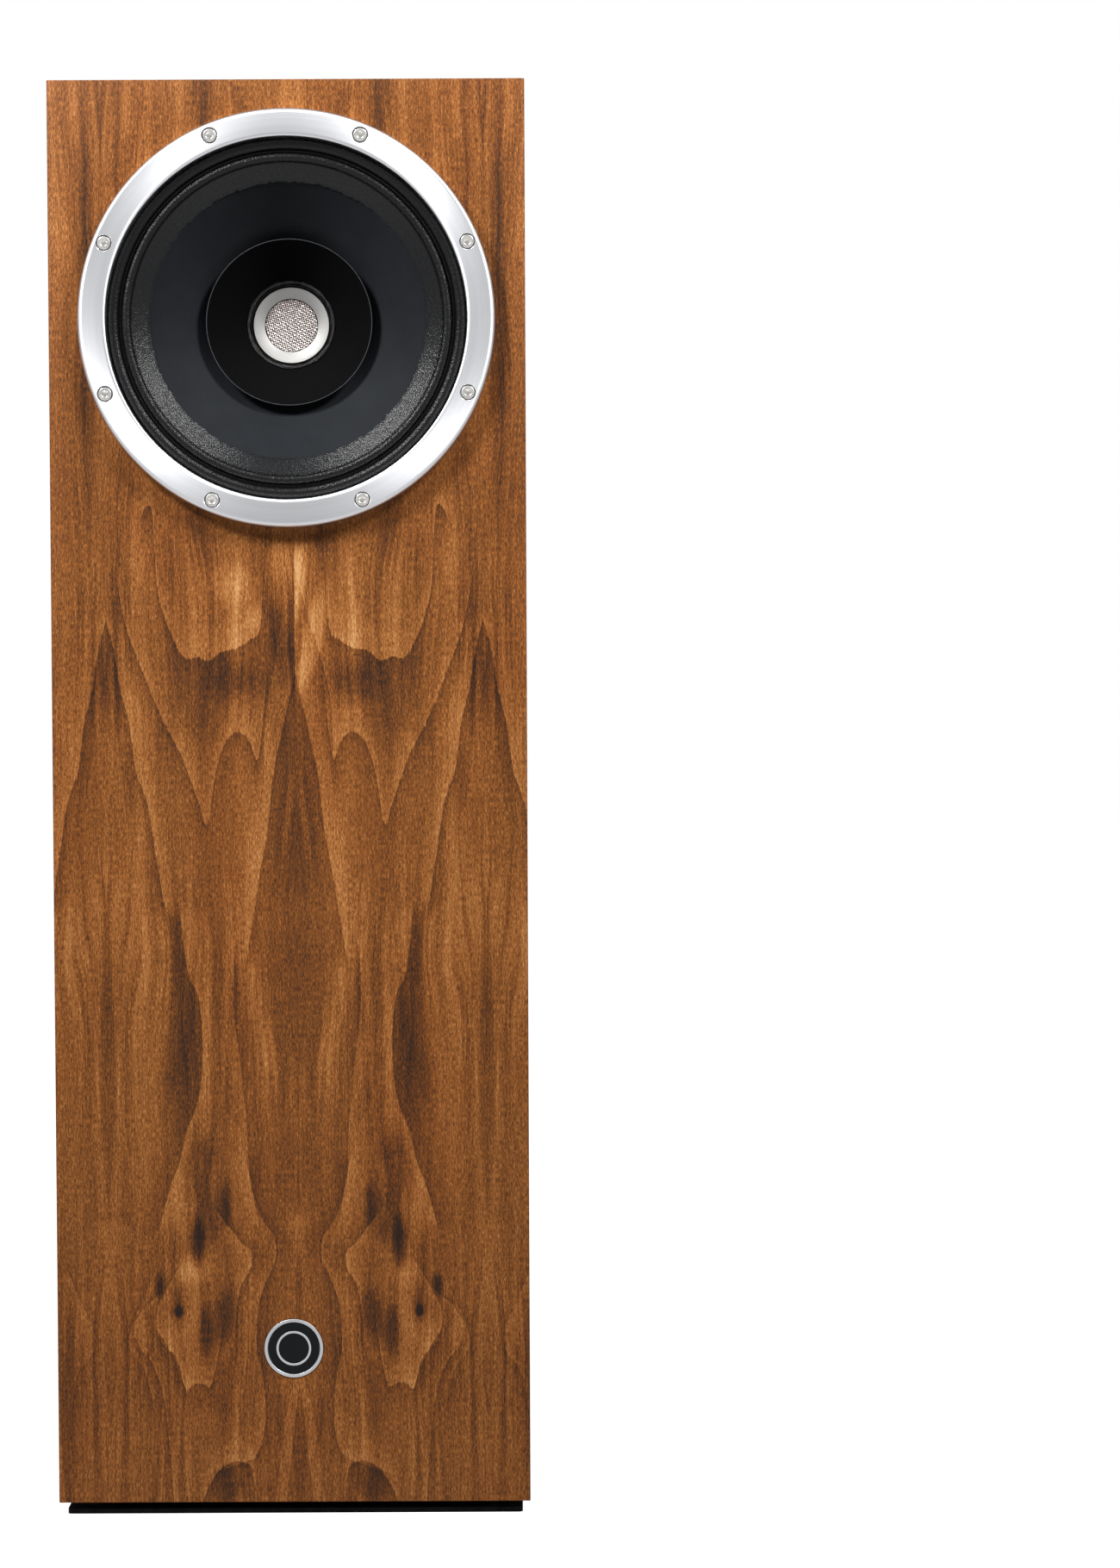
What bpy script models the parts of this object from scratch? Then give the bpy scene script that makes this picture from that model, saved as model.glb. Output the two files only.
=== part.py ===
"""Floorstanding loudspeaker with one coaxial driver, a vented cabinet and a thin plinth.

Metres, +Z up, +X to the right and -Y towards the listener. The origin is the centre of the plinth's
underside. Pieces of the driver are turned about its own axis: their local +Z points to the listener
and their local zero is the front face of the baffle.
"""

import math

import bmesh
import bpy
from mathutils import Matrix, Vector

# ---------------------------------------------------------------- driving dimensions
SEAT_GAP = 0.0003

CABINET_WIDTH = 0.3048
CABINET_DEPTH = 0.3048
CABINET_HEIGHT = 0.9144
PANEL_THICKNESS = 0.01905
BOTTOM_THICKNESS = 0.01905

PLINTH_THICKNESS = 0.0032
PLINTH_INSET = 0.005
PLINTH_CORNER = 0.003
VENT_GAP = 0.0050
STANDOFF_INSET = 0.019
STANDOFF_RADIUS = 0.0030
STANDOFF_RIM_RADIUS = 0.0036
STANDOFF_RIM_HEIGHT = 0.0009
BOLT_RADIUS = 0.0015
BOLT_HEAD_RADIUS = 0.0032
BOLT_LENGTH = 0.022
BOLT_HOLE_PLAY = 0.0003

VENT_TUBE_RADIUS = 0.0380
VENT_TUBE_WALL = 0.0030
VENT_TUBE_LENGTH = 0.090
VENT_FLARE = 0.0020
VENT_FLARE_LENGTH = 0.0050

BRACE_THICKNESS = 0.015
BRACE_WINDOW_WIDTH = 0.170
BRACE_WINDOW_DEPTH = 0.150
BRACE_WINDOW_CORNER = 0.025
LOWER_BRACE_RISE = 0.300
MIDDLE_BRACE_DROP = 0.2020

DRIVER_DROP = 0.1524
CUTOUT_RADIUS = 0.1170
CUTOUT_BACK_CHAMFER = 0.0050
RECESS_DEPTH = 0.0060
RECESS_PLAY = 0.0005

FLANGE_RADIUS = 0.1308
FLANGE_BORE_RADIUS = 0.1105
FLANGE_THICKNESS = 0.0030
GASKET_THICKNESS = 0.0015
GASKET_BORE_RADIUS = 0.1172
BASKET_THROAT_RADIUS = 0.1155
BASKET_THROAT_DEPTH = 0.0100
BASKET_WALL = 0.0030
BASKET_WAIST_RADIUS = 0.0860
BASKET_WAIST_DEPTH = 0.0620
SPIDER_SHELF_DEPTH = 0.0660
SPIDER_SHELF_BORE = 0.0740
BASKET_DEPTH = 0.0837
BASKET_BORE_RADIUS = 0.0450
SPOKE_COUNT = 6
SPOKE_WIDTH = 0.0140
WINDOW_FRONT = 0.0180
WINDOW_BACK = 0.0560
WINDOW_CORNER = 0.0060
WINDOW_REACH_INWARD = 0.0258
WINDOW_FLANGE_MARGIN = 0.0065

RING_RADIUS = 0.1333
RING_BORE_RADIUS = 0.1152
RING_PROUD = 0.0095
RING_EDGE_ROUND = 0.0033
RING_BORE_CHAMFER = 0.0026
RING_CHAMFER_DEPTH = 0.0015
SCREW_CIRCLE_RADIUS = 0.1252
SCREW_COUNT = 8
SCREW_RADIUS = 0.00245
SCREW_LENGTH = 0.0210
SCREW_HEAD_RADIUS = 0.00425
SCREW_HEAD_HEIGHT = 0.0048
SCREW_SOCKET_FLATS = 0.0040
SCREW_SOCKET_DEPTH = 0.0026
SCREW_HOLE_PLAY = 0.00035
COUNTERBORE_RADIUS = 0.00505
COUNTERBORE_DEPTH = 0.0052

SURROUND_THICKNESS = 0.0006
SURROUND_LIP_RADIUS = 0.1210
OUTER_ROLL_CENTRE = 0.1111
OUTER_ROLL_RADIUS = 0.0033
INNER_ROLL_CENTRE = 0.10275
INNER_ROLL_RADIUS = 0.00275
ROLL_VALLEY_DIP = 0.0008
INNER_ROLL_DIP = 0.0003
ROLL_STEPS = 4
COATED_BAND_OUTER = 0.0983
COATED_BAND_INNER = 0.0883

CONE_THICKNESS = 0.0008
CONE_RADIUS = 0.0986
CONE_RIM_DEPTH = 0.0022
CONE_NECK_DEPTH = 0.0500
CONE_NECK_TAB = 0.0025
CONE_BOW = 0.10

WHIZZER_THICKNESS = 0.0005
WHIZZER_RADIUS = 0.0534
WHIZZER_RIM_DEPTH = 0.0240
WHIZZER_NECK_DEPTH = 0.0465
WHIZZER_NECK_TAB = 0.0012
WHIZZER_BOW = 0.16

FORMER_RADIUS = 0.0260
FORMER_WALL = 0.0003
FORMER_FRONT_DEPTH = 0.0468
FORMER_LENGTH = 0.0485
COIL_WIRE_BUILD = 0.0008
COIL_HEIGHT = 0.0130

SPIDER_THICKNESS = 0.0004
SPIDER_RADIUS = 0.0822
SPIDER_FIRST_WAVE = 0.0310
SPIDER_LAST_WAVE = 0.0720
SPIDER_WAVES = 3
SPIDER_WAVE_HEIGHT = 0.0014

TOP_PLATE_RADIUS = 0.0750
TOP_PLATE_THICKNESS = 0.0080
MAGNET_RADIUS = 0.0780
MAGNET_BORE_RADIUS = 0.0300
MAGNET_THICKNESS = 0.0177
BACK_PLATE_RADIUS = 0.0750
BACK_PLATE_THICKNESS = 0.0100
COIL_AIR_GAP = 0.0008
POLE_RADIUS = 0.0251
POLE_VENT_RADIUS = 0.0060
POLE_VENT_FLARE = 0.0030
POLE_VENT_FLARE_LENGTH = 0.0045
POLE_EDGE_CHAMFER = 0.0005
PLATE_EDGE_CHAMFER = 0.0015

TWEETER_FLANGE_RADIUS = 0.0247
TWEETER_FLANGE_DEPTH = 0.0475
TWEETER_FLANGE_EDGE = 0.0016
TWEETER_THROAT_RADIUS = 0.0173
TWEETER_DISH_DEPTH = 0.0024
TWEETER_FLANGE_BACK = 0.0517
TWEETER_BODY_RADIUS = 0.0235
TWEETER_CHAMBER_RADIUS = 0.0195
TWEETER_CHAMBER_DEPTH = 0.0660
MESH_THICKNESS = 0.0004
MESH_DEPTH = 0.0506
MESH_PITCH = 0.0038
MESH_BAR = 0.0010
MESH_EDGE = 0.0010
DOME_RADIUS = 0.0125
DOME_HEIGHT = 0.0036
DOME_LIP = 0.0062
DOME_LEDGE_BORE = 0.0142
DOME_LEDGE_PLAY = 0.0006
DOME_FOOT_DEPTH = 0.0592
DOME_THICKNESS = 0.0003

BADGE_RISE = 0.1000
BADGE_RADIUS = 0.0190
BADGE_RIM = 0.0021
BADGE_PROUD = 0.0006
BADGE_RECESS_DEPTH = 0.0024
BADGE_FLOOR = 0.0008
BADGE_SINK = 0.0003
BADGE_RING_RADIUS = 0.0105
BADGE_RING_WIDTH = 0.0012
BADGE_RING_HEIGHT = 0.0002

TERMINAL_RISE = 0.1400
TERMINAL_PLATE_WIDTH = 0.1020
TERMINAL_PLATE_HEIGHT = 0.0760
TERMINAL_PLATE_THICKNESS = 0.0030
TERMINAL_PLATE_CORNER = 0.0060
TERMINAL_OPENING_WIDTH = 0.0780
TERMINAL_OPENING_HEIGHT = 0.0500
TERMINAL_OPENING_CORNER = 0.0080
POST_SPACING = 0.01905
POST_RADIUS = 0.0030
POST_HOLE_PLAY = 0.0004
POST_TAIL_LENGTH = 0.0150
POST_COLLAR_RADIUS = 0.0078
POST_COLLAR_HEIGHT = 0.0034
POST_STUD_LENGTH = 0.0262
POST_SOCKET_RADIUS = 0.00205
POST_SOCKET_DEPTH = 0.0160
POST_NUT_FLATS = 0.0100
POST_NUT_HEIGHT = 0.0040
WASHER_RADIUS = 0.0064
WASHER_THICKNESS = 0.0012
KNOB_RADIUS = 0.0082
KNOB_LENGTH = 0.0150
KNOB_CHAMFER = 0.0010
KNOB_SHOULDER = 0.0030
KNOB_FLUTES = 8
KNOB_FLUTE_RADIUS = 0.0016
KNOB_FLUTE_DEPTH = 0.0006

BOARD_RISE = 0.2350
BOARD_WIDTH = 0.1000
BOARD_HEIGHT = 0.0640
BOARD_THICKNESS = 0.0020
CAPACITOR_RADIUS = 0.0140
CAPACITOR_LENGTH = 0.0500
RESISTOR_RADIUS = 0.0040
RESISTOR_LENGTH = 0.0260
CAPACITOR_LIFT = 0.0120
RESISTOR_DROP = 0.0200
STRIP_WIDTH = 0.0260
STRIP_DEPTH = 0.0100
STRIP_THICKNESS = 0.0030
WIRE_RADIUS = 0.0014
WIRE_END_GAP = 0.0008

FINE_STEPS = 48
ROUND_STEPS = 32
HIDDEN_STEPS = 24
SMALL_STEPS = 12
HOLE_SIDES = 8
FLARE_STEPS = 3
CONE_STEPS = 4
WHIZZER_STEPS = 3
DOME_STEPS = 3
CUT_PAST = 0.0040

# ---------------------------------------------------------------- places that follow from them
CABINET_BASE = PLINTH_THICKNESS + VENT_GAP
CABINET_TOP = CABINET_BASE + CABINET_HEIGHT
BAFFLE_FACE = -CABINET_DEPTH / 2
REAR_FACE = CABINET_DEPTH / 2
REAR_INNER_FACE = REAR_FACE - PANEL_THICKNESS
DRIVER_AXIS_HEIGHT = CABINET_TOP - DRIVER_DROP
LOWER_BRACE_HEIGHT = CABINET_BASE + LOWER_BRACE_RISE
MIDDLE_BRACE_HEIGHT = DRIVER_AXIS_HEIGHT - MIDDLE_BRACE_DROP
INNER_WIDTH = CABINET_WIDTH - 2 * PANEL_THICKNESS
INNER_DEPTH = CABINET_DEPTH - 2 * PANEL_THICKNESS

TO_LISTENER = (math.pi / 2, 0.0, 0.0)
TO_REAR = (math.pi / 2, 0.0, math.pi)
TO_LEFT = (math.pi / 2, 0.0, -math.pi / 2)
TO_RIGHT = (math.pi / 2, 0.0, math.pi / 2)
UPRIGHT = (0.0, 0.0, 0.0)

DRIVER_CENTRE = (0.0, BAFFLE_FACE, DRIVER_AXIS_HEIGHT)
BADGE_CENTRE = (0.0, BAFFLE_FACE, CABINET_BASE + BADGE_RISE)
TERMINAL_HEIGHT = CABINET_BASE + TERMINAL_RISE
BOARD_HEIGHT_ON_WALL = CABINET_BASE + BOARD_RISE

GASKET_BACK = -RECESS_DEPTH + SEAT_GAP
FLANGE_BACK = GASKET_BACK + GASKET_THICKNESS + SEAT_GAP
FLANGE_FRONT = FLANGE_BACK + FLANGE_THICKNESS
SURROUND_LIP_MIDDLE = FLANGE_FRONT + SEAT_GAP + SURROUND_THICKNESS / 2
RING_BACK = SURROUND_LIP_MIDDLE + SURROUND_THICKNESS / 2 + SEAT_GAP
SCREW_SEAT = RING_PROUD - COUNTERBORE_DEPTH
SCREW_HOLE_RADIUS = SCREW_RADIUS + SCREW_HOLE_PLAY
BASKET_BACK = -BASKET_DEPTH
TOP_PLATE_FRONT = BASKET_BACK - SEAT_GAP
TOP_PLATE_BACK = TOP_PLATE_FRONT - TOP_PLATE_THICKNESS
MAGNET_FRONT = TOP_PLATE_BACK - SEAT_GAP
MAGNET_BACK = MAGNET_FRONT - MAGNET_THICKNESS
BACK_PLATE_FRONT = MAGNET_BACK - SEAT_GAP
BACK_PLATE_BACK = BACK_PLATE_FRONT - BACK_PLATE_THICKNESS
COIL_RADIUS = FORMER_RADIUS + SEAT_GAP + COIL_WIRE_BUILD
NECK_RADIUS = FORMER_RADIUS + SEAT_GAP + CONE_THICKNESS / 2
SPIDER_MIDDLE = -SPIDER_SHELF_DEPTH + SEAT_GAP + SPIDER_THICKNESS / 2
TWEETER_BODY_FRONT = -TWEETER_FLANGE_BACK - SEAT_GAP
DOME_LEDGE = -DOME_FOOT_DEPTH - DOME_THICKNESS / 2 - DOME_LEDGE_PLAY
TWEETER_BODY_BACK = TOP_PLATE_FRONT + SEAT_GAP


# ---------------------------------------------------------------- scene and finishes
def clear_scene():
    """Remove every object that the file opened with."""
    for piece in list(bpy.data.objects):
        bpy.data.objects.remove(piece, do_unlink=True)


def new_collection(name):
    """A collection of this scene."""
    group = bpy.data.collections.new(name)
    bpy.context.scene.collection.children.link(group)
    return group


def finish(name, colour, roughness, metallic=0.0):
    """A plain Principled material."""
    material = bpy.data.materials.new(name)
    material.use_nodes = True
    shader = material.node_tree.nodes["Principled BSDF"]
    shader.inputs["Base Color"].default_value = (*colour, 1.0)
    shader.inputs["Roughness"].default_value = roughness
    shader.inputs["Metallic"].default_value = metallic
    return material


clear_scene()
PARTS = new_collection("floorstanding_speaker")
CUTTERS = new_collection("cutters")
PIECES = {}

WALNUT = finish("walnut_veneer", (0.26, 0.10, 0.04), 0.45)
BARE_BOARD = finish("bare_board", (0.45, 0.30, 0.18), 0.8)
ALUMINIUM = finish("brushed_aluminium", (0.72, 0.73, 0.74), 0.32, 1.0)
STEEL = finish("polished_steel", (0.62, 0.62, 0.64), 0.22, 1.0)
BLACK_METAL = finish("black_powder_coat", (0.01, 0.01, 0.012), 0.35, 0.3)
PLATED_STEEL = finish("plated_steel", (0.45, 0.45, 0.43), 0.35, 1.0)
FERRITE = finish("ferrite", (0.035, 0.034, 0.036), 0.6)
FOAM = finish("black_foam", (0.012, 0.012, 0.012), 0.9)
CLOTH = finish("treated_cloth", (0.012, 0.013, 0.015), 0.5)
PULP = finish("paper_pulp", (0.035, 0.037, 0.042), 0.75)
BLACK_PAPER = finish("black_paper", (0.01, 0.01, 0.011), 0.6)
KAPTON = finish("amber_former", (0.35, 0.12, 0.02), 0.4)
COPPER = finish("copper_wire", (0.72, 0.28, 0.14), 0.3, 1.0)
SPIDER_CLOTH = finish("resin_cloth", (0.50, 0.33, 0.12), 0.75)
MESH_METAL = finish("woven_wire", (0.70, 0.62, 0.60), 0.35, 1.0)
TITANIUM = finish("dome_foil", (0.42, 0.42, 0.45), 0.3, 1.0)
BLACK_PLASTIC = finish("black_plastic", (0.015, 0.015, 0.016), 0.4)
RED_PLASTIC = finish("red_plastic", (0.35, 0.012, 0.010), 0.4)
BRASS = finish("plated_brass", (0.75, 0.55, 0.25), 0.25, 1.0)
LAMINATE = finish("board_laminate", (0.05, 0.16, 0.06), 0.5)
CAPACITOR_FILM = finish("capacitor_film", (0.55, 0.40, 0.10), 0.35)
CERAMIC = finish("resistor_body", (0.62, 0.60, 0.55), 0.7)
CHARCOAL = finish("charcoal_enamel", (0.013, 0.013, 0.016), 0.25)
RED_SLEEVE = finish("red_sleeve", (0.32, 0.012, 0.010), 0.5)
BLACK_SLEEVE = finish("black_sleeve", (0.012, 0.012, 0.012), 0.5)


# ---------------------------------------------------------------- modelling helpers
def place(name, data, where, turn, material):
    """A named piece of the speaker; without a material it is a cutter."""
    piece = bpy.data.objects.new(name, data)
    piece.location = where
    piece.rotation_euler = turn
    if material is None:
        CUTTERS.objects.link(piece)
        piece.hide_render = True
        piece.display_type = "WIRE"
        return piece
    PARTS.objects.link(piece)
    data.materials.clear()
    data.materials.append(material)
    PIECES[name] = piece
    return piece


def shaded(mesh):
    """Smooth shading with sharp edges kept past 30 degrees."""
    mesh.shade_smooth()
    mesh.set_sharp_from_angle(angle=math.radians(30))
    return mesh


def mesh_from(name, shape):
    """Close a bmesh into a mesh."""
    mesh = bpy.data.meshes.new(name)
    shape.to_mesh(mesh)
    shape.free()
    return mesh


def turned(name, profile, steps, where, turn, material, closed=True, wall=0.0):
    """Turn a profile of (radius, height) about local Z; an open one gets a wall by Solidify."""
    shape = bmesh.new()
    chain = [shape.verts.new((radius, 0.0, height)) for radius, height in profile]
    for first, second in zip(chain, chain[1:]):
        shape.edges.new((first, second))
    if closed:
        shape.edges.new((chain[-1], chain[0]))
    piece = place(name, mesh_from(name, shape), where, turn, material)
    screw = piece.modifiers.new("turn", "SCREW")
    screw.axis = "Z"
    screw.steps = steps
    screw.render_steps = steps
    screw.use_merge_vertices = True
    screw.merge_threshold = 0.00001
    screw.use_smooth_shade = True
    if wall:
        shell = piece.modifiers.new("wall", "SOLIDIFY")
        shell.thickness = wall
        shell.offset = 0.0
        shell.use_even_offset = True
    return piece


def on_axis(profile):
    """An open chain that starts and ends on the axis needs no closing edge."""
    return {"profile": profile, "closed": False}


def rod(name, radius, low, high, sides, where, turn, material):
    """A round or many-sided bar along local Z."""
    shape = bmesh.new()
    middle = Matrix.Translation((0.0, 0.0, (low + high) / 2))
    bmesh.ops.create_cone(
        shape, cap_ends=True, segments=sides, radius1=radius, radius2=radius, depth=high - low,
        matrix=middle,
    )
    return place(name, shaded(mesh_from(name, shape)), where, turn, material)


def rods_on_circle(name, radius, low, high, circle, count, where, turn, sides=SMALL_STEPS):
    """A cutter of equal bars on a circle, the first half a step from the top."""
    shape = bmesh.new()
    for x, y in circle_points(circle, count):
        middle = Matrix.Translation((x, y, (low + high) / 2))
        bmesh.ops.create_cone(
            shape, cap_ends=True, segments=sides, radius1=radius, radius2=radius, depth=high - low,
        matrix=middle,
        )
    return place(name, mesh_from(name, shape), where, turn, None)


def circle_points(radius, count):
    """Points on a circle, starting half a step from the top and going clockwise."""
    step = math.tau / count
    angles = [step / 2 + step * index for index in range(count)]
    return [(radius * math.sin(angle), radius * math.cos(angle)) for angle in angles]


def box(name, size, where, turn, material):
    """A rectangular block centred on its place."""
    shape = bmesh.new()
    bmesh.ops.create_cube(shape, size=1.0)
    bmesh.ops.scale(shape, vec=size, verts=shape.verts)
    return place(name, mesh_from(name, shape), where, turn, material)


def rounded_rectangle(width, height, corner, steps=4):
    """Corner points of a rectangle with round corners, counter-clockwise."""
    points = []
    for quarter, (side, end) in enumerate([(1, 1), (-1, 1), (-1, -1), (1, -1)]):
        centre = (side * (width / 2 - corner), end * (height / 2 - corner))
        for step in range(steps + 1):
            angle = math.radians(90 * quarter + 90 * step / steps)
            points.append((centre[0] + corner * math.cos(angle), centre[1] + corner * math.sin(angle)))
    return points


def circle_outline(radius, centre, steps):
    """Points of a circle about a centre."""
    angles = [math.tau * step / steps for step in range(steps)]
    return [(centre[0] + radius * math.cos(a), centre[1] + radius * math.sin(a)) for a in angles]


def flat_plate(name, outlines, thickness, where, turn, material):
    """A plate from flat outlines, the later ones being holes, centred on its thickness."""
    curve = bpy.data.curves.new(name, "CURVE")
    curve.dimensions = "2D"
    curve.fill_mode = "BOTH"
    curve.extrude = thickness / 2
    for outline in outlines:
        spline = curve.splines.new("POLY")
        spline.points.add(len(outline) - 1)
        for point, (x, y) in zip(spline.points, outline):
            point.co = (x, y, 0.0, 1.0)
        spline.use_cyclic_u = True
    return place(name, curve, where, turn, material)


def as_mesh(piece):
    """Replace a curve piece by its welded mesh, so that it can be cut."""
    bpy.context.view_layer.update()
    solid = piece.evaluated_get(bpy.context.evaluated_depsgraph_get())
    mesh = bpy.data.meshes.new_from_object(solid)
    shape = bmesh.new()
    shape.from_mesh(mesh)
    bmesh.ops.remove_doubles(shape, verts=shape.verts, dist=0.000001)
    shape.to_mesh(mesh)
    shape.free()
    name = piece.name
    material = piece.data.materials[0] if piece.data.materials else None
    place_in_world = piece.matrix_world.copy()
    bpy.data.objects.remove(piece, do_unlink=True)
    solid_piece = place(name, mesh, (0, 0, 0), UPRIGHT, material)
    solid_piece.matrix_world = place_in_world
    return solid_piece


def cut(piece, *cutters):
    """Take each cutter out of the piece."""
    for cutter in cutters:
        modifier = piece.modifiers.new(cutter.name, "BOOLEAN")
        modifier.operation = "DIFFERENCE"
        modifier.solver = "EXACT"
        modifier.object = cutter
    return piece


def finished_mesh(piece):
    """The mesh of a piece with its modifiers applied."""
    bpy.context.view_layer.update()
    solid = piece.evaluated_get(bpy.context.evaluated_depsgraph_get())
    return bpy.data.meshes.new_from_object(solid)


def local_to_world(where, turn, point):
    """A point of a placed piece's own frame, in the world."""
    return Matrix.LocRotScale(Vector(where), turn_of(turn), None) @ Vector(point)


def turn_of(turn):
    """A turn as a rotation that matrices take."""
    return Matrix.Rotation(turn[2], 3, "Z") @ Matrix.Rotation(turn[0], 3, "X")


def smooth_route(route, per_span=4):
    """Points on a smooth curve through the route's own points, each span as stiff as it is long."""
    before = [route[0], *route[:-1]]
    after = [*route[1:], route[-1]]
    ways = [(late - early).normalized() for early, late in zip(before, after)]
    points = []
    for start, end, start_way, end_way in zip(route, route[1:], ways, ways[1:]):
        reach = (end - start).length
        for step in range(per_span):
            t = step / per_span
            points.append(
                start * (2 * t ** 3 - 3 * t ** 2 + 1)
                + end * (3 * t ** 2 - 2 * t ** 3)
                + start_way * reach * (t ** 3 - 2 * t ** 2 + t)
                + end_way * reach * (t ** 3 - t ** 2)
            )
    return [*points, route[-1]]


def wire(name, route, radius, material):
    """A wire along a smooth route."""
    points = smooth_route([Vector(point) for point in route])
    curve = bpy.data.curves.new(name, "CURVE")
    curve.dimensions = "3D"
    curve.bevel_depth = radius
    curve.bevel_resolution = 1
    curve.use_fill_caps = True
    spline = curve.splines.new("POLY")
    spline.points.add(len(points) - 1)
    for point, place_of in zip(spline.points, points):
        point.co = (*place_of, 1.0)
    return place(name, curve, (0.0, 0.0, 0.0), UPRIGHT, material)


# ---------------------------------------------------------------- cabinet
def mitred_panel(name, width, height, where, turn, square_foot=True):
    """A board with its outer face at local zero and its edges mitred, its foot square."""
    slip = SEAT_GAP / math.sqrt(2)
    shape = bmesh.new()
    bmesh.ops.create_cube(shape, size=1.0)
    for vertex in shape.verts:
        inner = vertex.co.z < 0
        inset = slip + (PANEL_THICKNESS if inner else 0.0)
        end_inset = 0.0 if square_foot and vertex.co.y < 0 else inset
        vertex.co = (
            math.copysign(width / 2 - inset, vertex.co.x),
            math.copysign(height / 2 - end_inset, vertex.co.y),
            -PANEL_THICKNESS if inner else 0.0,
        )
    return place(name, mesh_from(name, shape), where, turn, WALNUT)


def make_cabinet():
    """Five mitred boards, and a bottom board held between them."""
    middle = CABINET_BASE + CABINET_HEIGHT / 2
    half_width = CABINET_WIDTH / 2
    face = (CABINET_WIDTH, CABINET_HEIGHT)
    front = mitred_panel("front_baffle", *face, (0, BAFFLE_FACE, middle), TO_LISTENER)
    rear = mitred_panel("rear_panel", *face, (0, REAR_FACE, middle), TO_REAR)
    mitred_panel("left_side_panel", CABINET_DEPTH, CABINET_HEIGHT, (-half_width, 0, middle), TO_LEFT)
    mitred_panel("right_side_panel", CABINET_DEPTH, CABINET_HEIGHT, (half_width, 0, middle), TO_RIGHT)
    top = (0, 0, CABINET_TOP)
    mitred_panel("top_panel", CABINET_WIDTH, CABINET_DEPTH, top, UPRIGHT, square_foot=False)
    cut(front, *baffle_cutters())
    cut(rear, terminal_opening_cutter())
    make_bottom_panel()


def baffle_cutters():
    """The stepped driver cut-out, the screws' pilot holes and the badge's seat."""
    recess = FLANGE_RADIUS + RECESS_PLAY
    back = -PANEL_THICKNESS
    cutout = turned(
        "driver_cutout",
        steps=FINE_STEPS,
        where=DRIVER_CENTRE,
        turn=TO_LISTENER,
        material=None,
        **on_axis([
            (0.0, CUT_PAST),
            (recess, CUT_PAST),
            (recess, -RECESS_DEPTH),
            (CUTOUT_RADIUS, -RECESS_DEPTH),
            (CUTOUT_RADIUS, back + CUTOUT_BACK_CHAMFER),
            (CUTOUT_RADIUS + CUTOUT_BACK_CHAMFER + CUT_PAST, back - CUT_PAST),
            (0.0, back - CUT_PAST),
        ]),
    )
    pilots = rods_on_circle(
        "pilot_holes",
        SCREW_HOLE_RADIUS,
        back - CUT_PAST,
        0.0,
        SCREW_CIRCLE_RADIUS,
        SCREW_COUNT,
        DRIVER_CENTRE,
        TO_LISTENER,
        sides=HOLE_SIDES,
    )
    badge_seat = rod(
        "badge_seat",
        BADGE_RADIUS + SEAT_GAP,
        -BADGE_RECESS_DEPTH,
        CUT_PAST,
        ROUND_STEPS,
        BADGE_CENTRE,
        TO_LISTENER,
        None,
    )
    return cutout, pilots, badge_seat


def terminal_opening_cutter():
    """The hole behind the terminal plate."""
    outline = rounded_rectangle(TERMINAL_OPENING_WIDTH, TERMINAL_OPENING_HEIGHT, TERMINAL_OPENING_CORNER)
    centre = (0.0, REAR_FACE - PANEL_THICKNESS / 2, TERMINAL_HEIGHT)
    return as_mesh(flat_plate("terminal_opening", [outline], 2 * PANEL_THICKNESS, centre, TO_REAR, None))


def standoff_places():
    """Where the four standoffs stand, in plan."""
    across = CABINET_WIDTH / 2 - PLINTH_INSET - STANDOFF_INSET
    along = CABINET_DEPTH / 2 - PLINTH_INSET - STANDOFF_INSET
    return [(x * across, y * along) for x, y in [(-1, -1), (1, -1), (1, 1), (-1, 1)]]


def make_bottom_panel():
    """The board between the walls, with the vent's hole and the bolts' holes."""
    panel = box(
        "bottom_panel",
        (INNER_WIDTH - 2 * SEAT_GAP, INNER_DEPTH - 2 * SEAT_GAP, BOTTOM_THICKNESS),
        (0.0, 0.0, CABINET_BASE + BOTTOM_THICKNESS / 2),
        UPRIGHT,
        BARE_BOARD,
    )
    low = -CUT_PAST
    high = BOTTOM_THICKNESS + CUT_PAST
    base = (0.0, 0.0, CABINET_BASE)
    vent = rod("vent_hole", VENT_TUBE_RADIUS + SEAT_GAP, low, high, ROUND_STEPS, base, UPRIGHT, None)
    bolt_holes = [
        rod(f"bolt_hole_{number}", BOLT_RADIUS + BOLT_HOLE_PLAY, low, high, HOLE_SIDES,
            (x, y, CABINET_BASE), UPRIGHT, None)
        for number, (x, y) in enumerate(standoff_places(), 1)
    ]
    cut(panel, vent, *bolt_holes)


def make_braces():
    """Two boards across the inside, each with a window for air and wires."""
    outline = [
        (x * (INNER_WIDTH / 2 - SEAT_GAP), y * (INNER_DEPTH / 2 - SEAT_GAP))
        for x, y in [(1, 1), (-1, 1), (-1, -1), (1, -1)]
    ]
    window = rounded_rectangle(BRACE_WINDOW_WIDTH, BRACE_WINDOW_DEPTH, BRACE_WINDOW_CORNER)
    for name, height in [("lower_brace", LOWER_BRACE_HEIGHT), ("middle_brace", MIDDLE_BRACE_HEIGHT)]:
        flat_plate(name, [outline, window], BRACE_THICKNESS, (0.0, 0.0, height), UPRIGHT, BARE_BOARD)


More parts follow.
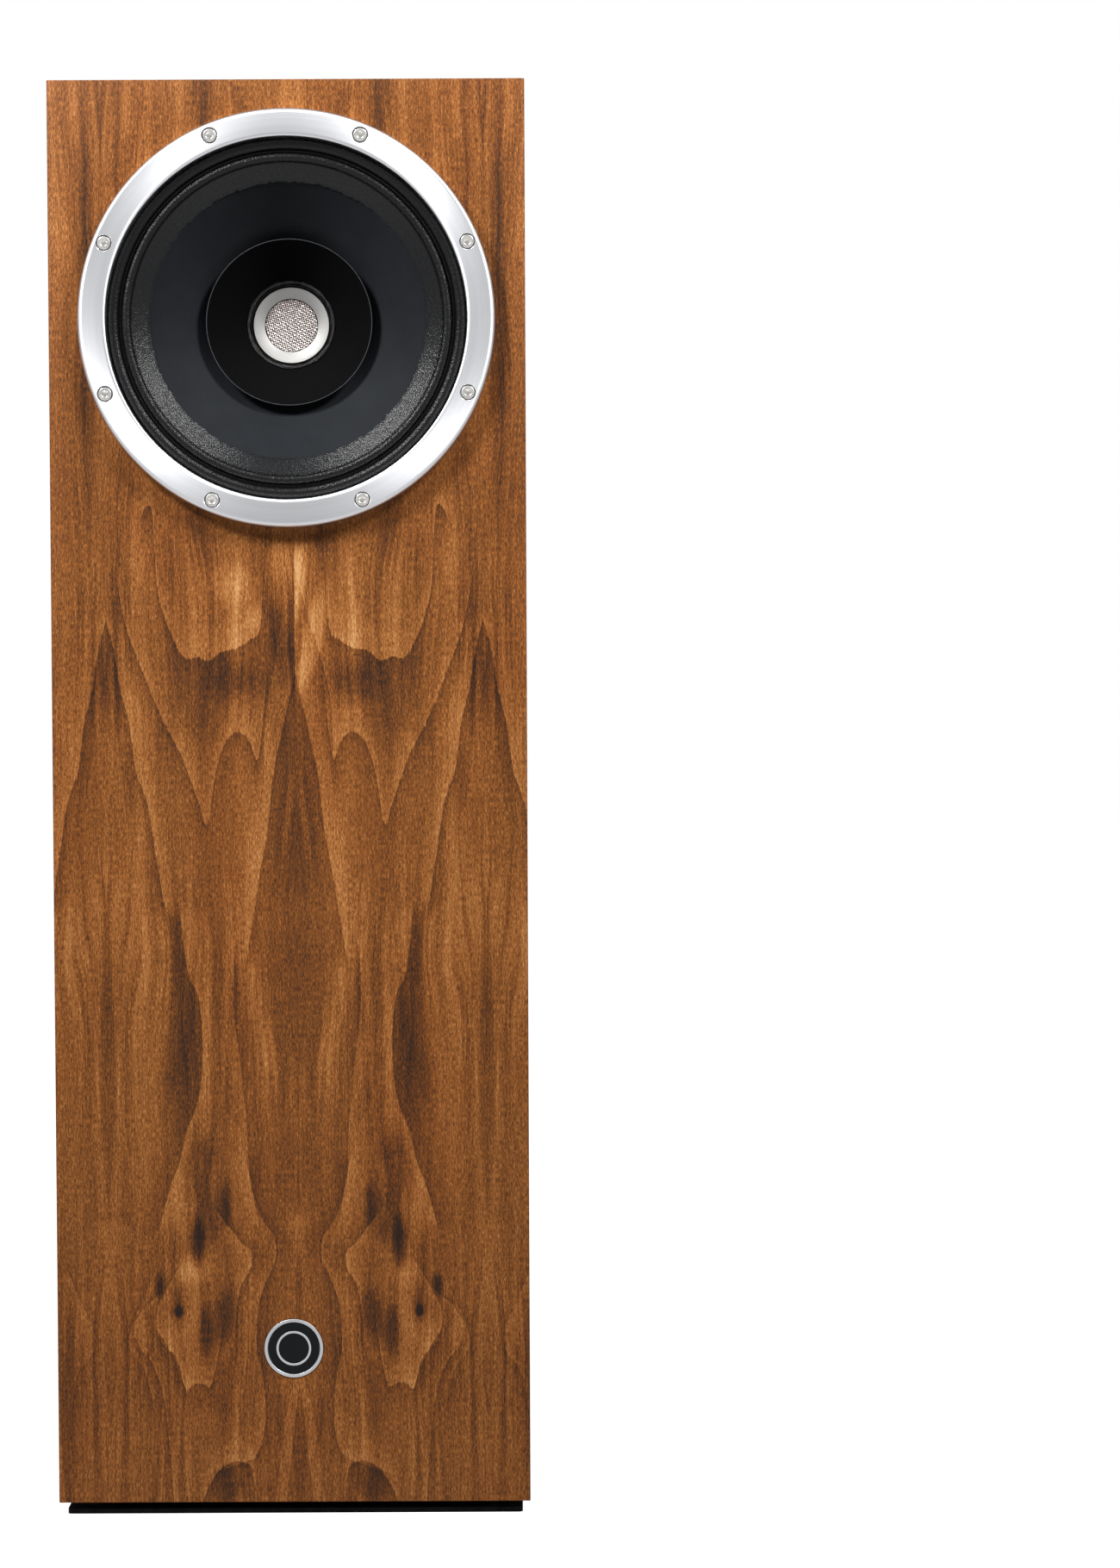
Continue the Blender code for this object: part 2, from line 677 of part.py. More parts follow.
def make_vent_tube():
    """The port: a tube through the bottom board, its mouth eased."""
    bore = VENT_TUBE_RADIUS - VENT_TUBE_WALL
    angles = [math.pi / 2 * step / FLARE_STEPS for step in range(FLARE_STEPS + 1)]
    flare = [
        (bore + VENT_FLARE * (1 - math.sin(angle)), VENT_FLARE_LENGTH * (1 - math.cos(angle)))
        for angle in angles
    ]
    outside = [(bore, VENT_TUBE_LENGTH), (VENT_TUBE_RADIUS, VENT_TUBE_LENGTH), (VENT_TUBE_RADIUS, 0.0)]
    turned(
        "vent_tube",
        [*outside, *flare],
        ROUND_STEPS,
        (0.0, 0.0, CABINET_BASE),
        UPRIGHT,
        BLACK_PLASTIC,
    )


# ---------------------------------------------------------------- plinth
def make_plinth():
    """A thin plate under the cabinet, held off it by four bolted standoffs."""
    outline = rounded_rectangle(
        CABINET_WIDTH - 2 * PLINTH_INSET, CABINET_DEPTH - 2 * PLINTH_INSET, PLINTH_CORNER, steps=3
    )
    middle = (0.0, 0.0, PLINTH_THICKNESS / 2)
    plate = as_mesh(flat_plate("plinth_plate", [outline], PLINTH_THICKNESS, middle, UPRIGHT, BLACK_METAL))
    hole = BOLT_RADIUS + BOLT_HOLE_PLAY
    sink = BOLT_HEAD_RADIUS + BOLT_HOLE_PLAY
    bolt_foot = SEAT_GAP
    taper = BOLT_HEAD_RADIUS - BOLT_RADIUS
    spacer_low = PLINTH_THICKNESS + SEAT_GAP
    spacer_high = CABINET_BASE - SEAT_GAP
    for number, (x, y) in enumerate(standoff_places(), 1):
        sink_cutter = turned(
            f"bolt_sink_{number}",
            steps=HOLE_SIDES,
            where=(x, y, 0.0),
            turn=UPRIGHT,
            material=None,
            **on_axis([
                (0.0, PLINTH_THICKNESS + CUT_PAST),
                (hole, PLINTH_THICKNESS + CUT_PAST),
                (hole, bolt_foot + taper),
                (sink, bolt_foot),
                (sink, -CUT_PAST),
                (0.0, -CUT_PAST),
            ]),
        )
        cut(plate, sink_cutter)
        turned(
            f"plinth_bolt_{number}",
            steps=HOLE_SIDES,
            where=(x, y, 0.0),
            turn=UPRIGHT,
            material=STEEL,
            **on_axis([
                (0.0, bolt_foot + BOLT_LENGTH),
                (BOLT_RADIUS, bolt_foot + BOLT_LENGTH),
                (BOLT_RADIUS, bolt_foot + taper),
                (BOLT_HEAD_RADIUS, bolt_foot),
                (0.0, bolt_foot),
            ]),
        )
        turned(
            f"plinth_standoff_{number}",
            [
                (hole, spacer_high),
                (STANDOFF_RIM_RADIUS, spacer_high),
                (STANDOFF_RIM_RADIUS, spacer_high - STANDOFF_RIM_HEIGHT),
                (STANDOFF_RADIUS, spacer_high - STANDOFF_RIM_HEIGHT),
                (STANDOFF_RADIUS, spacer_low),
                (hole, spacer_low),
            ],
            SMALL_STEPS,
            (x, y, 0.0),
            UPRIGHT,
            ALUMINIUM,
        )


# ---------------------------------------------------------------- driver: fixed pieces
def basket_profile():
    """The basket's section: flange, throat, sloping wall, spider shelf and floor."""
    wall = BASKET_WALL
    inner_waist = BASKET_WAIST_RADIUS - wall
    inner_throat = BASKET_THROAT_RADIUS - wall
    shelf = -SPIDER_SHELF_DEPTH
    return [
        (FLANGE_BORE_RADIUS, FLANGE_FRONT),
        (FLANGE_RADIUS, FLANGE_FRONT),
        (FLANGE_RADIUS, FLANGE_BACK),
        (BASKET_THROAT_RADIUS, FLANGE_BACK),
        (BASKET_THROAT_RADIUS, -BASKET_THROAT_DEPTH),
        (BASKET_WAIST_RADIUS, -BASKET_WAIST_DEPTH),
        (BASKET_WAIST_RADIUS, BASKET_BACK),
        (BASKET_BORE_RADIUS, BASKET_BACK),
        (BASKET_BORE_RADIUS, BASKET_BACK + wall),
        (inner_waist, BASKET_BACK + wall),
        (inner_waist, shelf - wall),
        (SPIDER_SHELF_BORE, shelf - wall),
        (SPIDER_SHELF_BORE, shelf),
        (inner_waist, shelf),
        (inner_waist, -BASKET_WAIST_DEPTH + wall / 4),
        (inner_throat, -BASKET_THROAT_DEPTH + wall / 4),
        (inner_throat, FLANGE_BACK),
        (FLANGE_BORE_RADIUS, FLANGE_BACK),
    ]


def basket_window_cutter():
    """Openings in the basket's sloping wall that leave parallel-sided spokes."""
    half_pitch = math.pi / SPOKE_COUNT
    apex = SPOKE_WIDTH / 2 / math.sin(half_pitch)
    near = BASKET_WAIST_RADIUS - WINDOW_REACH_INWARD
    far = FLANGE_RADIUS - WINDOW_FLANGE_MARGIN
    between = (near + far) / 2
    whole = bmesh.new()
    for index in range(SPOKE_COUNT):
        shape = bmesh.new()
        bmesh.ops.create_cube(shape, size=1.0)
        for vertex in shape.verts:
            reach = far if vertex.co.x > 0 else near
            vertex.co = (
                reach,
                math.copysign((reach - apex) * math.tan(half_pitch), vertex.co.y),
                -WINDOW_FRONT if vertex.co.z > 0 else -WINDOW_BACK,
            )
        ribs = [
            edge for edge in shape.edges
            if min(end.co.x for end in edge.verts) < between < max(end.co.x for end in edge.verts)
        ]
        bmesh.ops.bevel(
            shape, geom=ribs, affect="EDGES", offset=WINDOW_CORNER, segments=2, profile=0.5, material=-1
        )
        turn = Matrix.Rotation(math.pi / 2 + 2 * half_pitch * index, 4, "Z")
        bmesh.ops.transform(shape, matrix=turn, verts=shape.verts)
        opening = mesh_from("opening", shape)
        whole.from_mesh(opening)
        bpy.data.meshes.remove(opening)
    return place("basket_windows", mesh_from("basket_windows", whole), DRIVER_CENTRE, TO_LISTENER, None)


def make_driver_frame():
    """The basket with its spokes and screw holes, and the gasket that it sits on."""
    frame = turned("driver_frame", basket_profile(), ROUND_STEPS, DRIVER_CENTRE, TO_LISTENER, BLACK_METAL)
    holes = rods_on_circle(
        "frame_screw_holes",
        SCREW_HOLE_RADIUS,
        -RECESS_DEPTH - CUT_PAST,
        RING_BACK,
        SCREW_CIRCLE_RADIUS,
        SCREW_COUNT,
        DRIVER_CENTRE,
        TO_LISTENER,
        sides=HOLE_SIDES,
    )
    cut(frame, basket_window_cutter(), holes)
    gasket_front = GASKET_BACK + GASKET_THICKNESS
    gasket = turned(
        "frame_gasket",
        [
            (GASKET_BORE_RADIUS, gasket_front),
            (FLANGE_RADIUS, gasket_front),
            (FLANGE_RADIUS, GASKET_BACK),
            (GASKET_BORE_RADIUS, GASKET_BACK),
        ],
        HIDDEN_STEPS,
        DRIVER_CENTRE,
        TO_LISTENER,
        FOAM,
    )
    cut(gasket, holes)


def ring_profile():
    """The trim ring's section: flat back, chamfered bore, flat face and rounded rim."""
    rim = [
        (
            RING_RADIUS - RING_EDGE_ROUND * (1 - math.sin(angle)),
            RING_PROUD - RING_EDGE_ROUND * (1 - math.cos(angle)),
        )
        for angle in (math.radians(22.5 * step) for step in range(5))
    ]
    return [
        (RING_BORE_RADIUS, RING_PROUD - RING_CHAMFER_DEPTH),
        (RING_BORE_RADIUS + RING_BORE_CHAMFER, RING_PROUD),
        *rim,
        (RING_RADIUS, RING_BACK),
        (RING_BORE_RADIUS, RING_BACK),
    ]


def make_trim_ring():
    """The turned ring over the basket's flange, with a counterbored hole for each screw."""
    ring = turned("trim_ring", ring_profile(), FINE_STEPS, DRIVER_CENTRE, TO_LISTENER, ALUMINIUM)
    placing = (SCREW_CIRCLE_RADIUS, SCREW_COUNT, DRIVER_CENTRE, TO_LISTENER)
    seat_top = RING_PROUD + CUT_PAST
    seats = rods_on_circle("ring_counterbores", COUNTERBORE_RADIUS, SCREW_SEAT, seat_top, *placing)
    holes = rods_on_circle(
        "ring_screw_holes", SCREW_HOLE_RADIUS, RING_BACK - CUT_PAST, SCREW_SEAT + CUT_PAST, *placing,
        sides=HOLE_SIDES,
    )
    cut(ring, seats, holes)


def screw_mesh():
    """A socket-head screw, its head's underside at local zero."""
    ease = SCREW_HEAD_RADIUS * 0.1
    blank = turned(
        "screw_blank",
        steps=SMALL_STEPS,
        where=(0.0, 0.0, 0.0),
        turn=UPRIGHT,
        material=None,
        **on_axis([
            (0.0, SCREW_HEAD_HEIGHT),
            (SCREW_HEAD_RADIUS - ease, SCREW_HEAD_HEIGHT),
            (SCREW_HEAD_RADIUS, SCREW_HEAD_HEIGHT - ease),
            (SCREW_HEAD_RADIUS, 0.0),
            (SCREW_RADIUS, 0.0),
            (SCREW_RADIUS, -SCREW_LENGTH),
            (0.0, -SCREW_LENGTH),
        ]),
    )
    socket = rod(
        "screw_socket",
        SCREW_SOCKET_FLATS / math.sqrt(3),
        SCREW_HEAD_HEIGHT - SCREW_SOCKET_DEPTH,
        SCREW_HEAD_HEIGHT + SCREW_SOCKET_DEPTH,
        6,
        (0.0, 0.0, 0.0),
        UPRIGHT,
        None,
    )
    return finished_mesh(cut(blank, socket))


def make_ring_screws():
    """The screws that hold the ring and the basket to the baffle."""
    pattern = screw_mesh()
    seat = SCREW_SEAT + SEAT_GAP
    for number, (x, y) in enumerate(circle_points(SCREW_CIRCLE_RADIUS, SCREW_COUNT), 1):
        where = local_to_world(DRIVER_CENTRE, TO_LISTENER, (x, y, seat))
        place(f"ring_screw_{number}", pattern.copy(), where, TO_LISTENER, STEEL)


def plate_ring(name, bore, radius, front, back, material):
    """A flat ring with eased outer edges."""
    ease = PLATE_EDGE_CHAMFER
    return turned(
        name,
        [
            (bore, front),
            (radius - ease, front),
            (radius, front - ease),
            (radius, back + ease),
            (radius - ease, back),
            (bore, back),
        ],
        HIDDEN_STEPS,
        DRIVER_CENTRE,
        TO_LISTENER,
        material,
    )


def make_motor():
    """Top plate, ferrite ring, and the back plate with its vented pole."""
    gap_radius = COIL_RADIUS + COIL_AIR_GAP
    top = (gap_radius, TOP_PLATE_RADIUS, TOP_PLATE_FRONT, TOP_PLATE_BACK)
    plate_ring("magnet_top_plate", *top, PLATED_STEEL)
    plate_ring("magnet_ring", MAGNET_BORE_RADIUS, MAGNET_RADIUS, MAGNET_FRONT, MAGNET_BACK, FERRITE)
    ease = PLATE_EDGE_CHAMFER
    pole_ease = POLE_EDGE_CHAMFER
    turned(
        "pole_and_back_plate",
        [
            (POLE_VENT_RADIUS, TOP_PLATE_FRONT),
            (POLE_RADIUS - pole_ease, TOP_PLATE_FRONT),
            (POLE_RADIUS, TOP_PLATE_FRONT - pole_ease),
            (POLE_RADIUS, BACK_PLATE_FRONT),
            (BACK_PLATE_RADIUS - ease, BACK_PLATE_FRONT),
            (BACK_PLATE_RADIUS, BACK_PLATE_FRONT - ease),
            (BACK_PLATE_RADIUS, BACK_PLATE_BACK + ease),
            (BACK_PLATE_RADIUS - ease, BACK_PLATE_BACK),
            (POLE_VENT_RADIUS + POLE_VENT_FLARE, BACK_PLATE_BACK),
            (POLE_VENT_RADIUS, BACK_PLATE_BACK + POLE_VENT_FLARE_LENGTH),
        ],
        HIDDEN_STEPS,
        DRIVER_CENTRE,
        TO_LISTENER,
        PLATED_STEEL,
    )


# ---------------------------------------------------------------- driver: moving pieces
def cone_height(radius):
    """Height of the cone's middle surface, slightly bowed between rim and neck."""
    share = (CONE_RADIUS - radius) / (CONE_RADIUS - NECK_RADIUS)
    bowed = share + CONE_BOW * share * (1 - share)
    return -CONE_RIM_DEPTH - (CONE_NECK_DEPTH - CONE_RIM_DEPTH) * bowed


def band_height(radius):
    """Height of the surround's coated band, lying on the cone."""
    slope = (CONE_NECK_DEPTH - CONE_RIM_DEPTH) / (CONE_RADIUS - NECK_RADIUS)
    stack = CONE_THICKNESS / 2 + SEAT_GAP + SURROUND_THICKNESS / 2
    return cone_height(radius) + stack * math.hypot(1.0, slope)


def roll(centre, radius, base, steps):
    """A half round from outside to inside, bulging to the front."""
    angles = [math.pi * step / steps for step in range(steps + 1)]
    return [(centre + radius * math.cos(angle), base + radius * math.sin(angle)) for angle in angles]


def surround_profile():
    """Lip, outer roll, valley, inner roll and coated band, from outside to inside."""
    base = SURROUND_LIP_MIDDLE
    valley = (OUTER_ROLL_CENTRE - OUTER_ROLL_RADIUS + INNER_ROLL_CENTRE + INNER_ROLL_RADIUS) / 2
    return [
        (SURROUND_LIP_RADIUS, base),
        *roll(OUTER_ROLL_CENTRE, OUTER_ROLL_RADIUS, base, ROLL_STEPS),
        (valley, base - ROLL_VALLEY_DIP),
        *roll(INNER_ROLL_CENTRE, INNER_ROLL_RADIUS, base - INNER_ROLL_DIP, ROLL_STEPS),
        (COATED_BAND_OUTER, band_height(COATED_BAND_OUTER)),
        (COATED_BAND_INNER, band_height(COATED_BAND_INNER)),
    ]


def cone_profile():
    """Rim to neck, then the tab that grips the former."""
    width = CONE_RADIUS - NECK_RADIUS
    radii = [CONE_RADIUS - width * step / CONE_STEPS for step in range(CONE_STEPS + 1)]
    tab = (NECK_RADIUS, -CONE_NECK_DEPTH - CONE_NECK_TAB)
    return [*((radius, cone_height(radius)) for radius in radii), tab]


def whizzer_profile():
    """Rim to neck of the small cone, flaring to its rim, then its tab on the former."""
    neck = FORMER_RADIUS + SEAT_GAP + WHIZZER_THICKNESS / 2
    points = []
    for step in range(WHIZZER_STEPS + 1):
        share = step / WHIZZER_STEPS
        radius = WHIZZER_RADIUS + (neck - WHIZZER_RADIUS) * share
        bowed = share + WHIZZER_BOW * share * (1 - share)
        points.append((radius, -WHIZZER_RIM_DEPTH - (WHIZZER_NECK_DEPTH - WHIZZER_RIM_DEPTH) * bowed))
    return [*points, (neck, -WHIZZER_NECK_DEPTH - WHIZZER_NECK_TAB)]


def spider_profile():
    """Rings of waves between the former and the basket's shelf, from outside to inside."""
    steps = 4 * SPIDER_WAVES
    waves = []
    for step in range(steps + 1):
        radius = SPIDER_LAST_WAVE + (SPIDER_FIRST_WAVE - SPIDER_LAST_WAVE) * step / steps
        waves.append((radius, SPIDER_MIDDLE + SPIDER_WAVE_HEIGHT * math.sin(math.tau * step / 4)))
    collar = FORMER_RADIUS + 2 * SEAT_GAP
    return [(SPIDER_RADIUS, SPIDER_MIDDLE), *waves, (collar, SPIDER_MIDDLE)]


def make_cone_assembly():
    """The pieces that travel with the cone."""
    here = (DRIVER_CENTRE, TO_LISTENER)
    for name, profile, steps, material, wall in [
        ("surround", surround_profile(), ROUND_STEPS, CLOTH, SURROUND_THICKNESS),
        ("cone", cone_profile(), ROUND_STEPS, PULP, CONE_THICKNESS),
        ("whizzer_cone", whizzer_profile(), ROUND_STEPS, BLACK_PAPER, WHIZZER_THICKNESS),
        ("spider", spider_profile(), HIDDEN_STEPS, SPIDER_CLOTH, SPIDER_THICKNESS),
    ]:
        turned(name, profile, steps, *here, material, closed=False, wall=wall)
    former_bore = FORMER_RADIUS - FORMER_WALL
    former_back = -FORMER_FRONT_DEPTH - FORMER_LENGTH
    turned(
        "voice_coil_former",
        [
            (former_bore, -FORMER_FRONT_DEPTH),
            (FORMER_RADIUS, -FORMER_FRONT_DEPTH),
            (FORMER_RADIUS, former_back),
            (former_bore, former_back),
        ],
        ROUND_STEPS,
        *here,
        KAPTON,
    )
    coil_middle = (TOP_PLATE_FRONT + TOP_PLATE_BACK) / 2
    coil_bore = FORMER_RADIUS + SEAT_GAP
    turned(
        "voice_coil",
        [
            (coil_bore, coil_middle + COIL_HEIGHT / 2),
            (COIL_RADIUS, coil_middle + COIL_HEIGHT / 2),
            (COIL_RADIUS, coil_middle - COIL_HEIGHT / 2),
            (coil_bore, coil_middle - COIL_HEIGHT / 2),
        ],
        ROUND_STEPS,
        *here,
        COPPER,
    )


# ---------------------------------------------------------------- tweeter
def mesh_outlines():
    """A round outline and its square holes, on a diagonal grid inside the edge."""
    reach = TWEETER_THROAT_RADIUS - SEAT_GAP
    clear = reach - MESH_EDGE
    half_hole = (MESH_PITCH - MESH_BAR) / 2
    rows = int(reach / MESH_PITCH) + 1
    outlines = [circle_outline(reach, (0.0, 0.0), ROUND_STEPS)]
    for row in range(-rows, rows + 1):
        for column in range(-rows, rows + 1):
            x = column * MESH_PITCH
            y = row * MESH_PITCH
            corner = math.hypot(abs(x) + half_hole, abs(y) + half_hole)
            if corner < clear:
                outlines.append([
                    (x + side * half_hole, y + end * half_hole)
                    for side, end in [(1, 1), (-1, 1), (-1, -1), (1, -1)]
                ])
    return outlines


def make_tweeter():
    """The small driver on the pole: body, dished flange, wire mesh and dome."""
    here = (DRIVER_CENTRE, TO_LISTENER)
    turned(
        "tweeter_body",
        steps=ROUND_STEPS,
        where=DRIVER_CENTRE,
        turn=TO_LISTENER,
        material=PLATED_STEEL,
        **on_axis([
            (0.0, -TWEETER_CHAMBER_DEPTH),
            (DOME_LEDGE_BORE, -TWEETER_CHAMBER_DEPTH),
            (DOME_LEDGE_BORE, DOME_LEDGE),
            (TWEETER_CHAMBER_RADIUS, DOME_LEDGE),
            (TWEETER_CHAMBER_RADIUS, TWEETER_BODY_FRONT),
            (TWEETER_BODY_RADIUS, TWEETER_BODY_FRONT),
            (TWEETER_BODY_RADIUS, TWEETER_BODY_BACK),
            (0.0, TWEETER_BODY_BACK),
        ]),
    )
    dish_throat = -TWEETER_FLANGE_DEPTH - TWEETER_DISH_DEPTH
    turned(
        "tweeter_flange",
        [
            (TWEETER_THROAT_RADIUS, dish_throat),
            (TWEETER_FLANGE_RADIUS, -TWEETER_FLANGE_DEPTH),
            (TWEETER_FLANGE_RADIUS, -TWEETER_FLANGE_DEPTH - TWEETER_FLANGE_EDGE),
            (TWEETER_BODY_RADIUS, -TWEETER_FLANGE_BACK),
            (TWEETER_THROAT_RADIUS, -TWEETER_FLANGE_BACK),
        ],
        ROUND_STEPS,
        *here,
        ALUMINIUM,
    )
    mesh_place = local_to_world(DRIVER_CENTRE, TO_LISTENER, (0.0, 0.0, -MESH_DEPTH))
    flat_plate("tweeter_mesh", mesh_outlines(), MESH_THICKNESS, mesh_place, TO_LISTENER, MESH_METAL)
    ball = (DOME_RADIUS ** 2 + DOME_HEIGHT ** 2) / (2 * DOME_HEIGHT)
    half_angle = math.asin(DOME_RADIUS / ball)
    middle_of_ball = -DOME_FOOT_DEPTH - ball * math.cos(half_angle)
    angles = [half_angle * step / DOME_STEPS for step in range(DOME_STEPS + 1)]
    dome = [(ball * math.sin(angle), middle_of_ball + ball * math.cos(angle)) for angle in angles]
    lip = (DOME_RADIUS + DOME_LIP, -DOME_FOOT_DEPTH)
    turned("tweeter_dome", [*dome, lip], SMALL_STEPS, *here, TITANIUM, closed=False, wall=DOME_THICKNESS)


# ---------------------------------------------------------------- badge
def make_badge():
    """A plain round badge let into the baffle: a metal cup and an enamelled disc with one raised ring."""
    floor = -BADGE_RECESS_DEPTH + SEAT_GAP
    inner = BADGE_RADIUS - BADGE_RIM
    ease = BADGE_PROUD / 2
    turned(
        "badge_bezel",
        steps=ROUND_STEPS,
        where=BADGE_CENTRE,
        turn=TO_LISTENER,
        material=ALUMINIUM,
        **on_axis([
            (0.0, floor + BADGE_FLOOR),
            (inner, floor + BADGE_FLOOR),
            (inner, BADGE_PROUD),
            (BADGE_RADIUS - ease, BADGE_PROUD),
            (BADGE_RADIUS, BADGE_PROUD - ease),
            (BADGE_RADIUS, floor),
            (0.0, floor),
        ]),
    )
    disc_back = floor + BADGE_FLOOR + SEAT_GAP
    disc_front = BADGE_PROUD - BADGE_SINK
    ring_outer = BADGE_RING_RADIUS + BADGE_RING_WIDTH / 2
    ring_inner = BADGE_RING_RADIUS - BADGE_RING_WIDTH / 2
    ring_top = disc_front + BADGE_RING_HEIGHT
    turned(
        "badge_disc",
        steps=ROUND_STEPS,
        where=BADGE_CENTRE,
        turn=TO_LISTENER,
        material=CHARCOAL,
        **on_axis([
            (0.0, disc_front),
            (ring_inner, disc_front),
            (ring_inner, ring_top),
            (ring_outer, ring_top),
            (ring_outer, disc_front),
            (inner - SEAT_GAP, disc_front),
            (inner - SEAT_GAP, disc_back),
            (0.0, disc_back),
        ]),
    )


# ---------------------------------------------------------------- rear terminals
def make_terminals():
    """The rear plate and its two binding posts, each with a clamping washer and a turning knob."""
    plate_back = REAR_FACE + SEAT_GAP
    plate_front = plate_back + TERMINAL_PLATE_THICKNESS
    outline = rounded_rectangle(TERMINAL_PLATE_WIDTH, TERMINAL_PLATE_HEIGHT, TERMINAL_PLATE_CORNER)
    hole = POST_RADIUS + POST_HOLE_PLAY
    posts = [("positive", POST_SPACING / 2, RED_PLASTIC), ("negative", -POST_SPACING / 2, BLACK_PLASTIC)]
    holes = [circle_outline(hole, (-x, 0.0), SMALL_STEPS) for _, x, _ in posts]
    plate_middle = (0.0, (plate_back + plate_front) / 2, TERMINAL_HEIGHT)
    outlines = [outline, *holes]
    flat_plate("terminal_plate", outlines, TERMINAL_PLATE_THICKNESS, plate_middle, TO_REAR, BLACK_METAL)
    for side, x, colour in posts:
        make_post(side, (x, plate_front, TERMINAL_HEIGHT), colour)


def make_post(side, where, colour):
    """One binding post standing on the terminal plate, its zero at the plate's outer face."""
    collar_low = SEAT_GAP
    collar_high = collar_low + POST_COLLAR_HEIGHT
    tail = -TERMINAL_PLATE_THICKNESS - POST_TAIL_LENGTH
    nut_high = -TERMINAL_PLATE_THICKNESS - SEAT_GAP
    nut_radius = POST_NUT_FLATS / math.sqrt(3)
    turned(
        f"binding_post_{side}",
        steps=SMALL_STEPS,
        where=where,
        turn=TO_REAR,
        material=BRASS,
        **on_axis([
            (0.0, POST_STUD_LENGTH - POST_SOCKET_DEPTH),
            (POST_SOCKET_RADIUS, POST_STUD_LENGTH - POST_SOCKET_DEPTH),
            (POST_SOCKET_RADIUS, POST_STUD_LENGTH),
            (POST_RADIUS, POST_STUD_LENGTH),
            (POST_RADIUS, collar_high),
            (POST_COLLAR_RADIUS, collar_high),
            (POST_COLLAR_RADIUS, collar_low),
            (POST_RADIUS, collar_low),
            (POST_RADIUS, tail),
            (0.0, tail),
        ]),
    )
    nut_bore = POST_RADIUS + POST_HOLE_PLAY
    nut_low = nut_high - POST_NUT_HEIGHT
    nut = rod(f"post_nut_{side}", nut_radius, nut_low, nut_high, 6, where, TO_REAR, STEEL)
    nut_hole = rod(
        f"post_nut_bore_{side}",
        nut_bore,
        nut_high - 2 * POST_NUT_HEIGHT,
        nut_high + POST_NUT_HEIGHT,
        SMALL_STEPS,
        where,
        TO_REAR,
        None,
    )
    cut(nut, nut_hole)
    washer_low = collar_high + SEAT_GAP
    washer_high = washer_low + WASHER_THICKNESS
    bore = POST_RADIUS + SEAT_GAP
    turned(
        f"post_washer_{side}",
        [
            (bore, washer_high),
            (WASHER_RADIUS, washer_high),
            (WASHER_RADIUS, washer_low),
            (bore, washer_low),
        ],
        SMALL_STEPS,
        where,
        TO_REAR,
        BRASS,
    )
    knob_low = washer_high + SEAT_GAP
    knob_high = knob_low + KNOB_LENGTH
    knob = turned(
        f"post_knob_{side}",
        [
            (bore, knob_high),
            (KNOB_RADIUS - KNOB_CHAMFER, knob_high),
            (KNOB_RADIUS, knob_high - KNOB_CHAMFER),
            (KNOB_RADIUS, knob_low + KNOB_CHAMFER),
            (KNOB_RADIUS - KNOB_CHAMFER, knob_low),
            (bore, knob_low),
        ],
        2 * KNOB_FLUTES,
        where,
        TO_REAR,
        colour,
    )
    flutes = rods_on_circle(
        f"knob_flutes_{side}",
        KNOB_FLUTE_RADIUS,
        knob_low + KNOB_SHOULDER,
        knob_high + KNOB_CHAMFER,
        KNOB_RADIUS + KNOB_FLUTE_RADIUS - KNOB_FLUTE_DEPTH,
        KNOB_FLUTES,
        where,
        TO_REAR,
        sides=HOLE_SIDES,
    )
    cut(knob, flutes)


# ---------------------------------------------------------------- inside the cabinet
def make_filter():
    """The tweeter's high-pass filter on the rear wall, and the driver's terminal strip."""
    board_front = REAR_INNER_FACE - SEAT_GAP - BOARD_THICKNESS
    box(
        "filter_board",
        (BOARD_WIDTH, BOARD_THICKNESS, BOARD_HEIGHT),
        (0.0, board_front + BOARD_THICKNESS / 2, BOARD_HEIGHT_ON_WALL),
        UPRIGHT,
        LAMINATE,
    )
    lying = (0.0, math.pi / 2, 0.0)
    for name, radius, length, rise, sides, material in [
        ("filter_capacitor", CAPACITOR_RADIUS, CAPACITOR_LENGTH, CAPACITOR_LIFT, HIDDEN_STEPS,
         CAPACITOR_FILM),
        ("filter_resistor", RESISTOR_RADIUS, RESISTOR_LENGTH, -RESISTOR_DROP, SMALL_STEPS, CERAMIC),
    ]:
        where = (0.0, board_front - SEAT_GAP - radius, BOARD_HEIGHT_ON_WALL + rise)
        rod(name, radius, -length / 2, length / 2, sides, where, lying, material)
    box(
        "driver_terminal_strip",
        (STRIP_WIDTH, STRIP_DEPTH, STRIP_THICKNESS),
        strip_centre(),
        UPRIGHT,
        BLACK_PLASTIC,
    )


def strip_centre():
    """The terminal strip's place, under the basket's waist."""
    depth = (BASKET_WAIST_DEPTH + BASKET_DEPTH) / 2
    drop = BASKET_WAIST_RADIUS + SEAT_GAP + STRIP_THICKNESS / 2
    return (0.0, BAFFLE_FACE + depth, DRIVER_AXIS_HEIGHT - drop)


